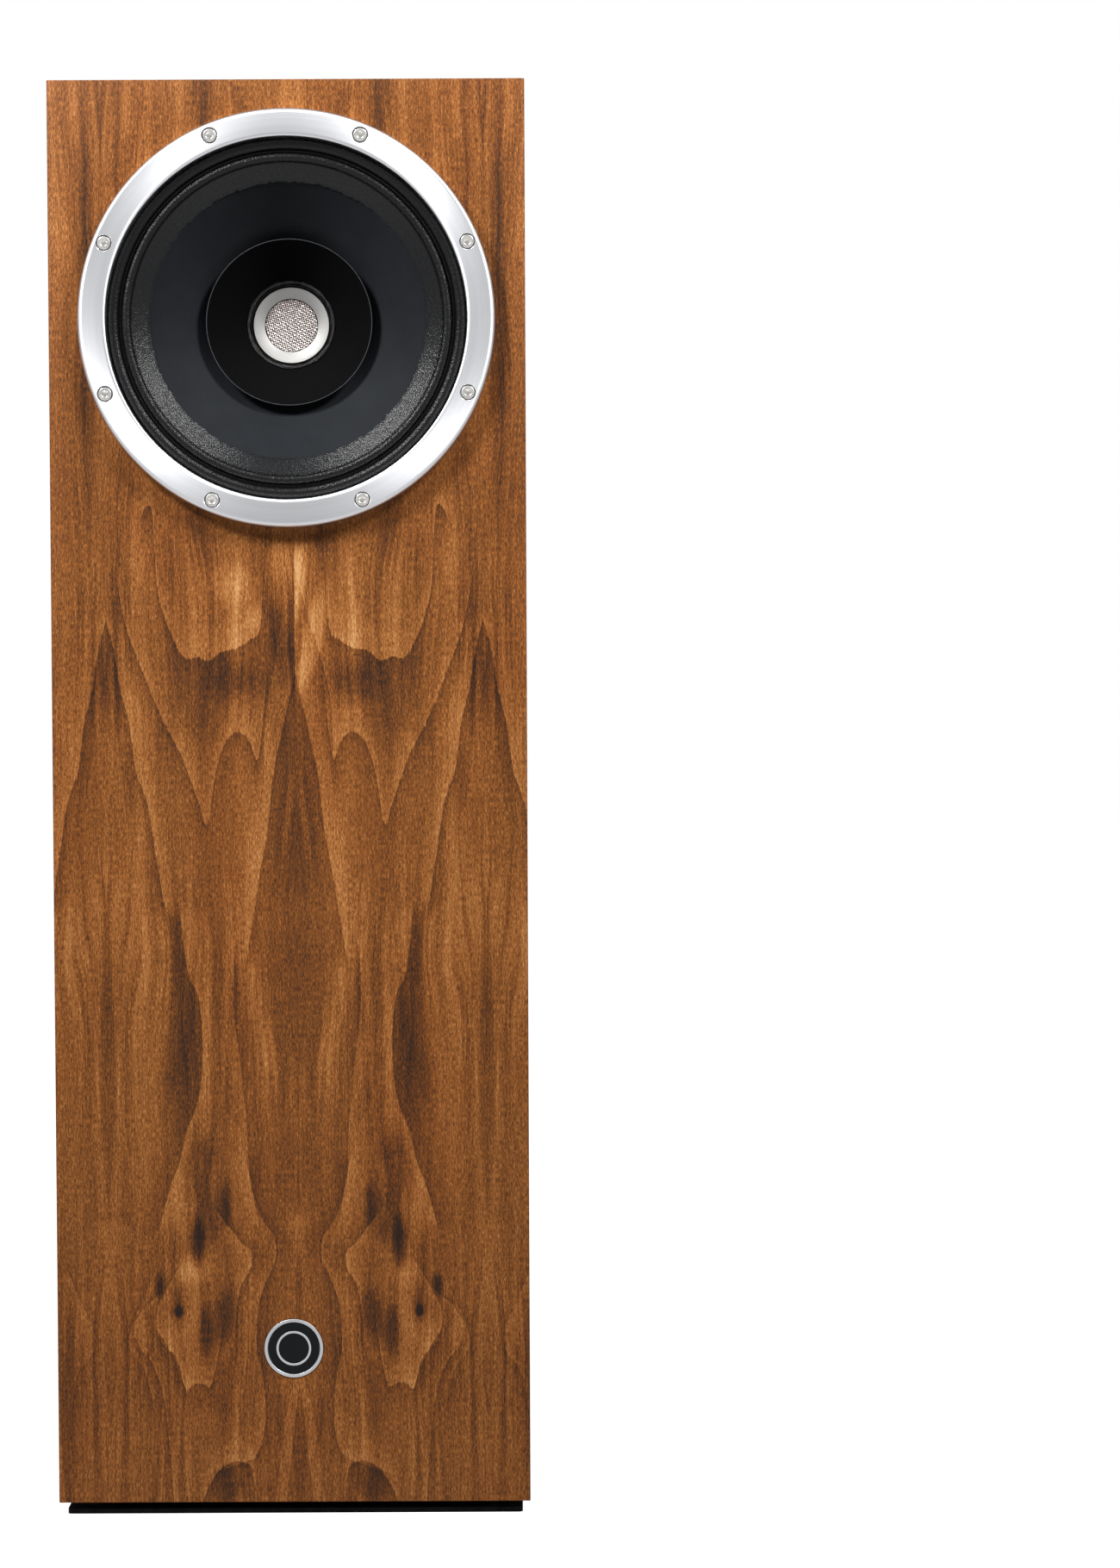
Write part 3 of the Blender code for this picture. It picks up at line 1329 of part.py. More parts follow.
def make_wires():
    """The wires from the posts to the driver, and the lead from the filter to the tweeter."""
    tail_end = REAR_FACE + SEAT_GAP - POST_TAIL_LENGTH
    bend = BRACE_WINDOW_DEPTH / 2 - 0.020
    strip_x, strip_y, strip_z = strip_centre()
    strip_low = strip_z - STRIP_THICKNESS / 2 - WIRE_END_GAP
    for side, sign, material in [("positive", 1, RED_SLEEVE), ("negative", -1, BLACK_SLEEVE)]:
        post_x = sign * POST_SPACING / 2
        outward = sign * 0.050
        wire(
            f"wire_{side}",
            [
                (post_x, tail_end - WIRE_END_GAP, TERMINAL_HEIGHT),
                (post_x, tail_end - 0.008, TERMINAL_HEIGHT),
                (post_x * 1.2, tail_end - 0.018, TERMINAL_HEIGHT + 0.002),
                (outward, bend, TERMINAL_HEIGHT + 0.050),
                (outward * 1.2, bend - 0.010, LOWER_BRACE_HEIGHT),
                (outward, bend - 0.010, (LOWER_BRACE_HEIGHT + MIDDLE_BRACE_HEIGHT) / 2),
                (outward * 0.7, bend - 0.010, MIDDLE_BRACE_HEIGHT),
                (sign * STRIP_WIDTH / 3, strip_y, strip_low - 0.025),
                (sign * STRIP_WIDTH / 3, strip_y, strip_low),
            ],
            WIRE_RADIUS,
            material,
        )
    board_top = BOARD_HEIGHT_ON_WALL + BOARD_HEIGHT / 2
    board_y = REAR_INNER_FACE - SEAT_GAP - BOARD_THICKNESS / 2
    pole_back = BAFFLE_FACE - BACK_PLATE_BACK
    wire(
        "tweeter_lead",
        [
            (0.0, board_y - WIRE_RADIUS, board_top + WIRE_END_GAP),
            (0.0, board_y - WIRE_RADIUS, board_top + 0.008),
            (0.0, board_y - 3 * WIRE_RADIUS, board_top + 0.020),
            (0.0, bend - 0.005, LOWER_BRACE_HEIGHT),
            (0.0, bend - 0.015, MIDDLE_BRACE_HEIGHT),
            (0.0, pole_back + 0.075, DRIVER_AXIS_HEIGHT - 0.080),
            (0.0, pole_back + 0.055, DRIVER_AXIS_HEIGHT - 0.012),
            (0.0, pole_back + 0.020, DRIVER_AXIS_HEIGHT),
            (0.0, pole_back, DRIVER_AXIS_HEIGHT),
            (0.0, BAFFLE_FACE - TWEETER_BODY_BACK + WIRE_END_GAP, DRIVER_AXIS_HEIGHT),
        ],
        WIRE_RADIUS,
        BLACK_SLEEVE,
    )


def build():
    """Make every sub-assembly."""
    make_cabinet()
    make_braces()
    make_vent_tube()
    make_plinth()
    make_driver_frame()
    make_trim_ring()
    make_ring_screws()
    make_motor()
    make_cone_assembly()
    make_tweeter()
    make_badge()
    make_terminals()
    make_filter()
    make_wires()
    for piece in PIECES.values():
        if piece.type == "MESH" and not piece.modifiers:
            shaded(piece.data)


build()
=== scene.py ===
"""Looks of a floorstanding loudspeaker.

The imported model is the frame: every piece here takes its place from the nodes' boxes. Metres, +Z up,
-Y towards the listener. Turned pieces of the driver are drawn as profiles of (radius, height), where
height is the distance in front of the baffle's face.
"""

import logging
import math
from abc import ABC, abstractmethod
from dataclasses import dataclass
from enum import Enum
from functools import cached_property
from typing import Iterable, Sequence, Union

import bmesh
import bpy
from mathutils import Matrix, Vector


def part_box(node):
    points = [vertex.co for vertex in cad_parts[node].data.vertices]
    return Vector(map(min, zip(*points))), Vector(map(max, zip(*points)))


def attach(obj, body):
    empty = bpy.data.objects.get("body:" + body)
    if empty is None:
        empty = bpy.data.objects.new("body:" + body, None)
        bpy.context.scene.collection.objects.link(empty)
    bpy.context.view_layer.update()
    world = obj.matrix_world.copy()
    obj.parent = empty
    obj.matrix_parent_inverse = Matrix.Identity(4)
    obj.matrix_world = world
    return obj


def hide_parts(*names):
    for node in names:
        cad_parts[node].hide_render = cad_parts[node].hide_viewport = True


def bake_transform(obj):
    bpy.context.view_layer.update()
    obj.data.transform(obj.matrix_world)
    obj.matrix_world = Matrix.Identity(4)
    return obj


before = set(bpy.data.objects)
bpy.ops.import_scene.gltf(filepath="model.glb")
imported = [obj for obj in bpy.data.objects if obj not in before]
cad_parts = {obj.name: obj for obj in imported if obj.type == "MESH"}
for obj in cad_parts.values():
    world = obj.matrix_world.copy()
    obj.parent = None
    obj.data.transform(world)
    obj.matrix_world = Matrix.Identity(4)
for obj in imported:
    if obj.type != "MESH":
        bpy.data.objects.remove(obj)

LOG = logging.getLogger("loudspeaker")
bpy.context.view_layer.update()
MM = 0.001
TURN = 2.0 * math.pi

Profile = Sequence[tuple[float, float]]
Socket = bpy.types.NodeSocket
Value = Union[Socket, float, tuple]


# ---------------------------------------------------------------- directions
class Facing(Enum):
    """Which way a turned piece's own +Z points once it is in place."""

    LISTENER = (math.pi / 2, 0.0)
    REAR = (math.pi / 2, math.pi)
    UP = (0.0, 0.0)
    DOWN = (math.pi, 0.0)

    @property
    def turn(self) -> Matrix:
        """The rotation that takes local +Z to this direction."""
        about_x, about_z = self.value
        return Matrix.Rotation(about_z, 4, "Z") @ Matrix.Rotation(about_x, 4, "X")


@dataclass(frozen=True)
class Axis:
    """A turning axis: the point where its heights are zero, and its direction."""

    centre: Vector
    facing: Facing

    @property
    def matrix(self) -> Matrix:
        """From the axis's own frame to the part's frame."""
        return Matrix.Translation(self.centre) @ self.facing.turn

    def place(self, shape: bmesh.types.BMesh) -> bmesh.types.BMesh:
        """Move a shape from the axis's own frame into the part's frame.

        Args:
            shape: the shape, drawn about local Z.

        Returns:
            The same shape, in place.
        """
        bmesh.ops.transform(shape, matrix=self.matrix, verts=shape.verts)
        return shape


def centre_of(node: str) -> Vector:
    """The middle of a node's box."""
    low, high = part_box(node)
    return (low + high) / 2


# ---------------------------------------------------------------- shader graphs
class Graph:
    """The node tree of one finish, with short ways to add nodes and join them."""

    def __init__(self, name: str) -> None:
        """Start a material that holds one Principled shader.

        Args:
            name: the material's name.
        """
        self.material = bpy.data.materials.new(name)
        self.material.use_nodes = True
        self.tree = self.material.node_tree
        self.shader = self.tree.nodes["Principled BSDF"]

    def feed(self, socket: Socket, value: Value) -> None:
        """Join a socket to another one, or set its value.

        Args:
            socket: the input.
            value: a socket or a value.
        """
        if isinstance(value, bpy.types.NodeSocket):
            self.tree.links.new(value, socket)
        else:
            socket.default_value = value

    def add(self, kind: str, inputs: dict[Union[str, int], Value], **settings: object) -> bpy.types.Node:
        """Add a node.

        Args:
            kind: the node's type, without the leading "ShaderNode".
            inputs: values or sockets by the input's name or number.
            **settings: the node's own properties.

        Returns:
            The new node.
        """
        node = self.tree.nodes.new("ShaderNode" + kind)
        for name, value in settings.items():
            setattr(node, name, value)
        for key, value in inputs.items():
            self.feed(node.inputs[key], value)
        return node

    def surface(self, **values: Value) -> None:
        """Set inputs of the Principled shader; an underscore in a name stands for a space."""
        for name, value in values.items():
            self.feed(self.shader.inputs[name.replace("_", " ")], value)

    def calc(self, operation: str, *values: Value, clamp: bool = False) -> Socket:
        """The result of a Math node."""
        return self.add("Math", dict(enumerate(values)), operation=operation, use_clamp=clamp).outputs[0]

    def vector(self, operation: str, *values: Value) -> bpy.types.Node:
        """A Vector Math node."""
        return self.add("VectorMath", dict(enumerate(values)), operation=operation)

    def join(self, x: Value, y: Value, z: Value = 0.0) -> Socket:
        """A vector from its three parts."""
        return self.add("CombineXYZ", {0: x, 1: y, 2: z}).outputs[0]

    @cached_property
    def place(self) -> Socket:
        """Object coordinates in millimetres."""
        source = self.add("TexCoord", {}).outputs["Object"]
        scaled = self.vector("SCALE", source)
        self.feed(scaled.inputs["Scale"], 1.0 / MM)
        return scaled.outputs[0]

    def smooth(self, value: Value, low: float, high: float, start: float = 0.0, end: float = 1.0) -> Socket:
        """A smooth step from start, at low, to end, at high."""
        inputs = {"Value": value, "From Min": low, "From Max": high, "To Min": start, "To Max": end}
        return self.add("MapRange", inputs, interpolation_type="SMOOTHSTEP").outputs[0]

    def noise(self, vector: Socket, scale: float = 1.0, detail: float = 2.0, rough: float = 0.5) -> Socket:
        """The value of a Noise texture, about 0.5 in the middle."""
        inputs = {"Vector": vector, "Scale": scale, "Detail": detail, "Roughness": rough}
        return self.add("TexNoise", inputs).outputs[0]

    def ramp(self, factor: Value, stops: Sequence[tuple[float, tuple[float, float, float]]]) -> Socket:
        """A colour ramp, with its colours written as they look on a screen, from 0 to 255.

        Args:
            factor: where to look in the ramp, from 0 to 1.
            stops: position and colour of each stop, in order.

        Returns:
            The colour.
        """
        node = self.add("ValToRGB", {0: factor})
        elements = node.color_ramp.elements
        while len(elements) < len(stops):
            elements.new(1.0)
        for element, (position, colour) in zip(elements, stops):
            element.position = position
            element.color = daylight(*colour)
        return node.outputs[0]

    def curve(self, value: Value, points: Sequence[tuple[float, float]], handle: str = "AUTO") -> Socket:
        """A curve through given points, from 0..1 to 0..1.

        Args:
            value: where to look on the curve.
            points: its points, in any order.
            handle: how it passes through its points.

        Returns:
            The curve's height there.
        """
        node = self.add("FloatCurve", {"Value": value})
        line = node.mapping.curves[0]
        while len(line.points) < len(points):
            line.points.new(0.5, 0.5)
        for point, (x, y) in zip(line.points, sorted(points)):
            point.location = (x, y)
            point.handle_type = handle
        node.mapping.update()
        return node.outputs[0]

    def mix(self, factor: Value, first: Value, second: Value, blend: str = "MIX") -> Socket:
        """A mix of two colours."""
        node = self.add("Mix", {0: factor, 6: first, 7: second}, data_type="RGBA", blend_type=blend)
        return node.outputs[2]

    def bump(self, height: Socket, depth: float, strength: float = 1.0) -> Socket:
        """A normal for a height of 0..1 that stands for a depth in metres, over any normal set before.

        Args:
            height: the relief, from 0 to 1.
            depth: what a height of 1 stands for.
            strength: the share of it that shows.

        Returns:
            The normal, which the shader already has.
        """
        inputs = {"Height": height, "Distance": depth, "Strength": strength}
        linked = self.shader.inputs["Normal"].links
        if linked:
            inputs["Normal"] = linked[0].from_socket
        normal = self.add("Bump", inputs).outputs[0]
        self.surface(Normal=normal)
        return normal

    def radius_about(self, axis: Axis) -> Socket:
        """The distance from an axis, in millimetres.

        Args:
            axis: the axis, along X, Y or Z of the part.

        Returns:
            The distance.
        """
        offset = self.vector("SUBTRACT", self.place, tuple(axis.centre / MM)).outputs[0]
        direction = axis.matrix.to_3x3() @ Vector((0.0, 0.0, 1.0))
        flat = self.vector("MULTIPLY", offset, tuple(1.0 - abs(part) for part in direction)).outputs[0]
        return self.vector("LENGTH", flat).outputs["Value"]


def daylight(red: float, green: float, blue: float) -> tuple[float, float, float, float]:
    """A colour as it looks on a screen, from 0 to 255, as the linear colour that a shader takes.

    Args:
        red: its red part.
        green: its green part.
        blue: its blue part.

    Returns:
        The linear colour, with an alpha of 1.
    """
    def linear(part: float) -> float:
        """The linear value of one part."""
        share = part / 255.0
        return share / 12.92 if share <= 0.04045 else ((share + 0.055) / 1.055) ** 2.4

    return linear(red), linear(green), linear(blue), 1.0


# ---------------------------------------------------------------- finishes
@dataclass(frozen=True)
class Finish(ABC):
    """A finish: a material made of nodes, for one of the record's material slots."""

    name: str
    slot: str

    @abstractmethod
    def paint(self, graph: Graph) -> None:
        """Set up the shader.

        Args:
            graph: the finish's node tree.
        """

    @property
    def material(self) -> bpy.types.Material:
        """The finish's material, made on first use.

        Returns:
            The material.
        """
        title = f"{self.name}_finish"
        made = bpy.data.materials.get(title)
        if made is None:
            graph = Graph(title)
            self.paint(graph)
            made = graph.material
        return made


@dataclass(frozen=True)
class Mottled(Finish):
    """An even finish whose colour, gloss and surface vary a little, such as paint or moulded plastic."""

    colour: tuple[float, float, float]
    roughness: float = 0.5
    metallic: float = 0.0
    grain: float = 1.0
    spread: float = 0.12
    relief: float = 0.00002
    gloss: float = 0.5

    def paint(self, graph: Graph) -> None:
        """Mix two tones of the colour, and raise the same grain a little.

        Args:
            graph: the finish's node tree.
        """
        fine = graph.noise(graph.place, 1.0 / self.grain, 3.0, 0.6)
        broad = graph.noise(graph.place, 1.0 / (self.grain * 14.0), 2.0)
        tone = graph.calc("ADD", graph.calc("MULTIPLY", fine, 0.6), graph.calc("MULTIPLY", broad, 0.4))
        dark = daylight(*(part * (1.0 - self.spread) for part in self.colour))
        light = daylight(*(min(255.0, part * (1.0 + self.spread)) for part in self.colour))
        graph.surface(Base_Color=graph.mix(tone, dark, light), Metallic=self.metallic)
        graph.surface(Specular_IOR_Level=self.gloss)
        graph.surface(Roughness=graph.smooth(broad, 0.3, 0.7, self.roughness * 0.88, self.roughness * 1.12))
        graph.bump(fine, self.relief)


@dataclass(frozen=True)
class TurnedMetal(Finish):
    """Metal that was faced on a lathe, with its fine lines running round an axis."""

    colour: tuple[float, float, float]
    axis: Axis
    roughness: float = 0.3
    anisotropic: float = 0.6
    line_pitch: float = 0.35
    line_depth: float = 0.000004
    shade: float = 0.1

    def paint(self, graph: Graph) -> None:
        """Lay lines on the radius and turn the highlight along them.

        Args:
            graph: the finish's node tree.
        """
        radius = graph.radius_about(self.axis)
        along = graph.noise(graph.place, 0.03, 2.0)
        wander = graph.calc("MULTIPLY_ADD", along, 0.6, radius)
        lines = graph.noise(graph.join(graph.calc("DIVIDE", wander, self.line_pitch), along), 1.0, 3.0, 0.7)
        dark = daylight(*(part * (1.0 - self.shade) for part in self.colour))
        graph.surface(Base_Color=graph.mix(lines, dark, daylight(*self.colour)), Metallic=1.0)
        graph.surface(Roughness=graph.smooth(lines, 0.25, 0.75, self.roughness * 0.9, self.roughness * 1.12))
        graph.surface(Anisotropic=self.anisotropic)
        direction = self.axis.matrix.to_3x3() @ Vector((0.0, 0.0, 1.0))
        offset = graph.vector("SUBTRACT", graph.place, tuple(self.axis.centre / MM)).outputs[0]
        around = graph.vector("CROSS_PRODUCT", tuple(direction), offset).outputs[0]
        graph.surface(Tangent=graph.vector("NORMALIZE", around).outputs[0])
        graph.bump(lines, self.line_depth)


@dataclass(frozen=True)
class Moulded(Finish):
    """Leathery doped cloth or moulded rubber: nearly black, with a fine pebbled skin."""

    colour: tuple[float, float, float]
    roughness: float = 0.45
    pebble: float = 0.9
    relief: float = 0.00008
    gloss: float = 0.5

    def paint(self, graph: Graph) -> None:
        """Pebbles in the surface, glossier on their tops.

        Args:
            graph: the finish's node tree.
        """
        wander = graph.noise(graph.place, 0.4 / self.pebble, 2.0)
        cell_inputs = {"Vector": graph.place, "Scale": 1.0 / self.pebble, "Randomness": 1.0}
        cells = graph.add("TexVoronoi", cell_inputs)
        height = graph.calc("ADD", graph.calc("MULTIPLY", cells.outputs["Distance"], -0.8), wander)
        dark = daylight(*(part * 0.75 for part in self.colour))
        graph.surface(Base_Color=graph.mix(wander, dark, daylight(*self.colour)))
        graph.surface(Specular_IOR_Level=self.gloss)
        graph.surface(Roughness=graph.smooth(height, 0.0, 0.6, self.roughness * 1.25, self.roughness * 0.8))
        graph.bump(height, self.relief)


@dataclass(frozen=True)
class RibbedPaper(Finish):
    """Pressed paper with fine rings about the driver's axis, and its fibres."""

    colour: tuple[float, float, float]
    axis: Axis
    rib_pitch: float = 1.3
    rib_depth: float = 0.00006
    roughness: float = 0.62

    def paint(self, graph: Graph) -> None:
        """Rings by a sine of the radius, and felted fibres between them.

        Args:
            graph: the finish's node tree.
        """
        radius = graph.radius_about(self.axis)
        ribs = graph.calc("SINE", graph.calc("MULTIPLY", radius, TURN / self.rib_pitch))
        ribs = graph.calc("MULTIPLY_ADD", ribs, 0.5, 0.5)
        fibres = graph.noise(graph.place, 1.4, 4.0, 0.75)
        patches = graph.noise(graph.place, 0.05, 2.0)
        tone = graph.calc("MULTIPLY_ADD", fibres, 0.5, graph.calc("MULTIPLY", patches, 0.5))
        dark = daylight(*(part * 0.72 for part in self.colour))
        light = daylight(*(part * 1.25 for part in self.colour))
        graph.surface(Base_Color=graph.mix(tone, dark, light), Specular_IOR_Level=0.05)
        graph.surface(Roughness=graph.smooth(fibres, 0.3, 0.7, self.roughness * 0.9, self.roughness * 1.1))
        graph.bump(ribs, self.rib_depth)
        graph.bump(fibres, 0.00004)


class Half(Enum):
    """Which leaf of the bookmatched face shows a feature; a tone kept to one leaf is painted sheen, the light
    that the mirrored fibres throw back unequally.
    """

    BOTH = 0
    LEFT = -1
    RIGHT = 1


class Run(Enum):
    """How a growth line is drawn: up the grain (distance over height) or across it (height over distance).

    A curve has one value at each place, so a line that turns back on itself is drawn across.
    """

    UP = "up"
    ACROSS = "across"


@dataclass(frozen=True)
class GrowthLine:
    """The edge of a year's growth: pale along one side, dark along the other, both fading away from it.

    Attributes:
        run: which way its points run.
        points: (position, place of the edge) in millimetres: height and distance from the seam for UP,
            distance and height for ACROSS.
        tone: how strong it is; above zero the greater side is the pale one.
        fade: how far the tone reaches, in millimetres.
        half: the leaf that shows it; a line on one leaf only is painted sheen.
        fold: the distance that the leaf is folded about, or zero for none.
    """

    run: Run
    points: tuple[tuple[float, float], ...]
    tone: float
    fade: float = 22.0
    half: Half = Half.BOTH
    fold: float = 0.0


@dataclass(frozen=True)
class Cloud:
    """A soft patch of darker or paler tone: the wood's own where both leaves show it, painted sheen where one
    leaf alone does.

    Attributes:
        across: its distance from the seam, in millimetres.
        rise: its height, in millimetres.
        wide: half its width.
        tall: half its height.
        tone: how much paler, or darker below zero.
        lean: how far it leans away from the seam, in degrees.
        core: the share of it that is even, from 0 to 1.
        half: the leaf that shows it; a patch on one leaf only is painted sheen.
    """

    across: float
    rise: float
    wide: float
    tall: float
    tone: float
    lean: float = 0.0
    core: float = 0.0
    half: Half = Half.BOTH


# The tone across a growth line: darkening in steps to its edge, then pale and fading.
LINE_SHAPE = (
    (0.0, 0.5), (0.10, 0.44), (0.15, 0.36), (0.19, 0.42), (0.28, 0.28), (0.32, 0.34), (0.42, 0.17),
    (0.475, 0.04), (0.495, 0.0), (0.508, 0.86), (0.58, 0.80), (0.64, 0.68), (0.67, 0.74), (0.78, 0.61),
    (0.84, 0.53), (0.88, 0.57), (1.0, 0.5),
)
# The tone over one year of the generic growth lines.
GROWTH_SHAPE = ((0.0, 0.95), (0.12, 0.72), (0.4, 0.5), (0.8, 0.32), (0.97, 0.15), (1.0, 0.95))
# Streaks of the fibres: pitch across and reach along the grain in millimetres, detail, strength.
STREAKS = ((22.0, 420.0, 2.0, 0.46), (5.5, 170.0, 3.0, 0.40), (1.7, 60.0, 2.0, 0.36))
# The wood's colour from its darkest tone to its palest.
WALNUT_TONES = (
    (0.00, (30, 13, 4)),
    (0.18, (64, 35, 11)),
    (0.36, (98, 55, 19)),
    (0.50, (129, 75, 27)),
    (0.64, (158, 99, 48)),
    (0.80, (184, 128, 72)),
    (1.00, (214, 166, 112)),
)


@dataclass(frozen=True)
class Walnut(Finish):
    """Oiled walnut veneer, cut flat and laid with its grain upright.

    Attributes:
        across: the part's direction across the grain.
        along: the part's direction along the grain, from zero at foot.
        foot: where heights start, in millimetres along the grain.
        seam: where two mirrored leaves meet, in millimetres across; a leaf further on is mirrored again.
        leaf: the width of a leaf, in millimetres.
        height: the length of a leaf, in millimetres.
        figure: strength of the generic growth lines.
        level: the tone that everything else is added to.
        lines: growth lines of this face.
        clouds: soft patches of this face.
        seed: where in the log the leaf was cut.
        reach: how far from the seam the growth lines are drawn, in millimetres.
        line_strength: what every growth line's tone is multiplied by.
        raggedness: how far the fibres fray an edge, in millimetres.
        sway: how far the grain sways, in millimetres.
        fine_scale: the finest fibres, in changes per millimetre across and along the grain.
        sway_scale: the sway, in the same way.
        field_scale: the field that the generic growth lines are cut from, in the same way.
        pore_scale: the pores, in the same way.
        grit_scale: the grit, in the same way.
        warm_scale: the tinted patches, in the same way.
        pore: how much darker a pore is.
        grit: strength of the grit.
        tint: the colour that the tinted patches are multiplied by.
    """

    across: tuple[float, float, float] = (1.0, 0.0, 0.0)
    along: tuple[float, float, float] = (0.0, 0.0, 1.0)
    foot: float = 0.0
    seam: float = 0.0
    leaf: float = 122.0
    height: float = 914.4
    figure: float = 0.10
    level: float = 0.495
    lines: tuple[GrowthLine, ...] = ()
    clouds: tuple[Cloud, ...] = ()
    seed: float = 0.0
    reach: float = 160.0
    line_strength: float = 1.3
    raggedness: float = 4.0
    sway: float = 26.0
    fine_scale: tuple[float, float] = (0.9, 0.09)
    sway_scale: tuple[float, float] = (0.02, 0.006)
    field_scale: tuple[float, float] = (0.016, 0.0035)
    pore_scale: tuple[float, float] = (3.4, 0.42)
    grit_scale: tuple[float, float] = (1.35, 0.33)
    warm_scale: tuple[float, float] = (0.018, 0.006)
    pore: float = 0.13
    grit: float = 1.25
    tint: tuple[float, float, float] = (236, 214, 186)

    def paint(self, graph: Graph) -> None:
        """Add up fibres, growth lines and patches into one tone, and colour it.

        Args:
            graph: the finish's node tree.
        """
        across = graph.vector("DOT_PRODUCT", graph.place, self.across).outputs["Value"]
        along = graph.vector("DOT_PRODUCT", graph.place, self.along).outputs["Value"]
        side = graph.calc("SUBTRACT", across, self.seam)
        height = graph.calc("SUBTRACT", along, self.foot)
        folded = graph.calc("PINGPONG", side, self.leaf)
        distance = graph.calc("ABSOLUTE", side)
        right = graph.smooth(side, -0.2, 0.2)
        fine = self.grain(graph, across, along, self.fine_scale, 0.0, 3.0, 0.6)
        ragged = graph.calc("MULTIPLY_ADD", graph.calc("SUBTRACT", fine, 0.5), self.raggedness, height)
        swayed = self.grain(graph, folded, height, self.sway_scale, 3.0)
        flow = graph.calc("MULTIPLY_ADD", graph.calc("SUBTRACT", swayed, 0.5), self.sway, folded)
        tone = self.fibres(graph, flow, height, fine)
        tone = graph.calc("ADD", tone, self.growth(graph, flow, ragged))
        for line in self.lines:
            tone = graph.calc("ADD", tone, self.draw_line(graph, line, distance, ragged, right))
        place = graph.join(distance, ragged)
        for cloud in self.clouds:
            tone = graph.calc("ADD", tone, self.draw_cloud(graph, cloud, place, right))
        self.colour(graph, tone, across, along, fine)

    def grain(self, graph: Graph, across: Socket, along: Socket, scale: tuple[float, float],
              shift: float = 0.0, detail: float = 2.0, rough: float = 0.5) -> Socket:
        """Noise that is stretched along the grain.

        Args:
            graph: the finish's node tree.
            across: the place across the grain, in millimetres.
            along: the place along the grain, in millimetres.
            scale: how often it changes across and along the grain, per millimetre.
            shift: what sets it apart from the other noises of the same leaf.
            detail: how many finer layers it has.
            rough: how strong they are.

        Returns:
            The noise, about 0.5 in the middle.
        """
        wide, tall = graph.calc("MULTIPLY", across, scale[0]), graph.calc("MULTIPLY", along, scale[1])
        return graph.noise(graph.join(wide, tall, self.seed + shift), 1.0, detail, rough)

    def fibres(self, graph: Graph, flow: Socket, height: Socket, fine: Socket) -> Socket:
        """Straight streaks of three widths, round the level tone.

        Args:
            graph: the finish's node tree.
            flow: the place across the swaying grain, in millimetres.
            height: the place along the grain, in millimetres.
            fine: the finest fibres.

        Returns:
            The tone.
        """
        tone = graph.calc("MULTIPLY_ADD", graph.calc("SUBTRACT", fine, 0.5), 0.42, self.level)
        patch = graph.noise(graph.join(graph.calc("DIVIDE", flow, 34.0), graph.calc("DIVIDE", height, 130.0),
                                       self.seed + 1.0), 1.0, 2.0)
        strongest = graph.smooth(patch, 0.38, 0.62, 0.45, 1.35)
        for pitch, reach, detail, strength in STREAKS:
            streak = graph.join(graph.calc("DIVIDE", flow, pitch), graph.calc("DIVIDE", height, reach),
                                self.seed + pitch)
            value = graph.calc("SUBTRACT", graph.noise(streak, 1.0, detail), 0.5)
            tone = graph.calc("MULTIPLY_ADD", value, graph.calc("MULTIPLY", strongest, strength), tone)
        return tone

    def growth(self, graph: Graph, flow: Socket, ragged: Socket) -> Socket:
        """Generic growth lines: a field stretched along the grain, cut into steps that fade on one side.

        Args:
            graph: the finish's node tree.
            flow: the place across the swaying grain, in millimetres.
            ragged: the height, frayed by the fibres.

        Returns:
            The tone that they add.
        """
        wave = self.grain(graph, flow, ragged, self.field_scale, 9.0, 1.5)
        years = graph.calc("MULTIPLY_ADD", wave, 7.0, graph.calc("MULTIPLY", ragged, 0.0022))
        step = graph.calc("FRACT", years)
        shape = graph.curve(step, GROWTH_SHAPE, "VECTOR")
        return graph.calc("MULTIPLY", graph.calc("SUBTRACT", shape, 0.5), self.figure)

    def shown(self, graph: Graph, value: Socket, half: Half, right: Socket) -> Socket:
        """A feature kept to one leaf, where it is painted sheen that lights one mirrored leaf and not the
        other.

        Args:
            graph: the finish's node tree.
            value: the feature's tone.
            half: the leaf that shows it.
            right: 1 on the right leaf and 0 on the left one.

        Returns:
            The tone, nothing on the other leaf.
        """
        if half is Half.BOTH:
            return value
        gate = right if half is Half.RIGHT else graph.calc("SUBTRACT", 1.0, right)
        return graph.calc("MULTIPLY", value, gate)

    def draw_line(self, graph: Graph, line: GrowthLine, distance: Socket, height: Socket,
                  right: Socket) -> Socket:
        """The tone that one growth line adds.

        Args:
            graph: the finish's node tree.
            line: the line.
            distance: the distance from the seam, in millimetres.
            height: the height, frayed by the fibres.
            right: 1 on the right leaf and 0 on the left one.

        Returns:
            The tone.
        """
        if line.fold:
            distance = graph.calc("ABSOLUTE", graph.calc("SUBTRACT", distance, line.fold))
        if line.run is Run.UP:
            run, rise, run_size, rise_size, ease = height, distance, self.height, self.reach, 14.0
        else:
            run, rise, run_size, rise_size, ease = distance, height, self.reach, self.height, 3.0
        position = graph.calc("DIVIDE", run, run_size)
        drawn = tuple((x / run_size, y / rise_size) for x, y in line.points)
        edge = graph.curve(position, drawn)
        off = graph.calc("SUBTRACT", rise, graph.calc("MULTIPLY", edge, rise_size))
        share = graph.calc("MULTIPLY_ADD", off, 0.5 / line.fade, 0.5, clamp=True)
        shape = graph.curve(share, LINE_SHAPE, "VECTOR")
        first, last = min(x for x, _ in line.points), max(x for x, _ in line.points)
        begun, over = graph.smooth(run, first - ease, first), graph.smooth(run, last, last + ease, 1.0, 0.0)
        strength = graph.calc("MULTIPLY", graph.calc("MULTIPLY", begun, over), self.line_strength * line.tone)
        value = graph.calc("MULTIPLY", graph.calc("SUBTRACT", shape, 0.5), strength)
        return self.shown(graph, value, line.half, right)

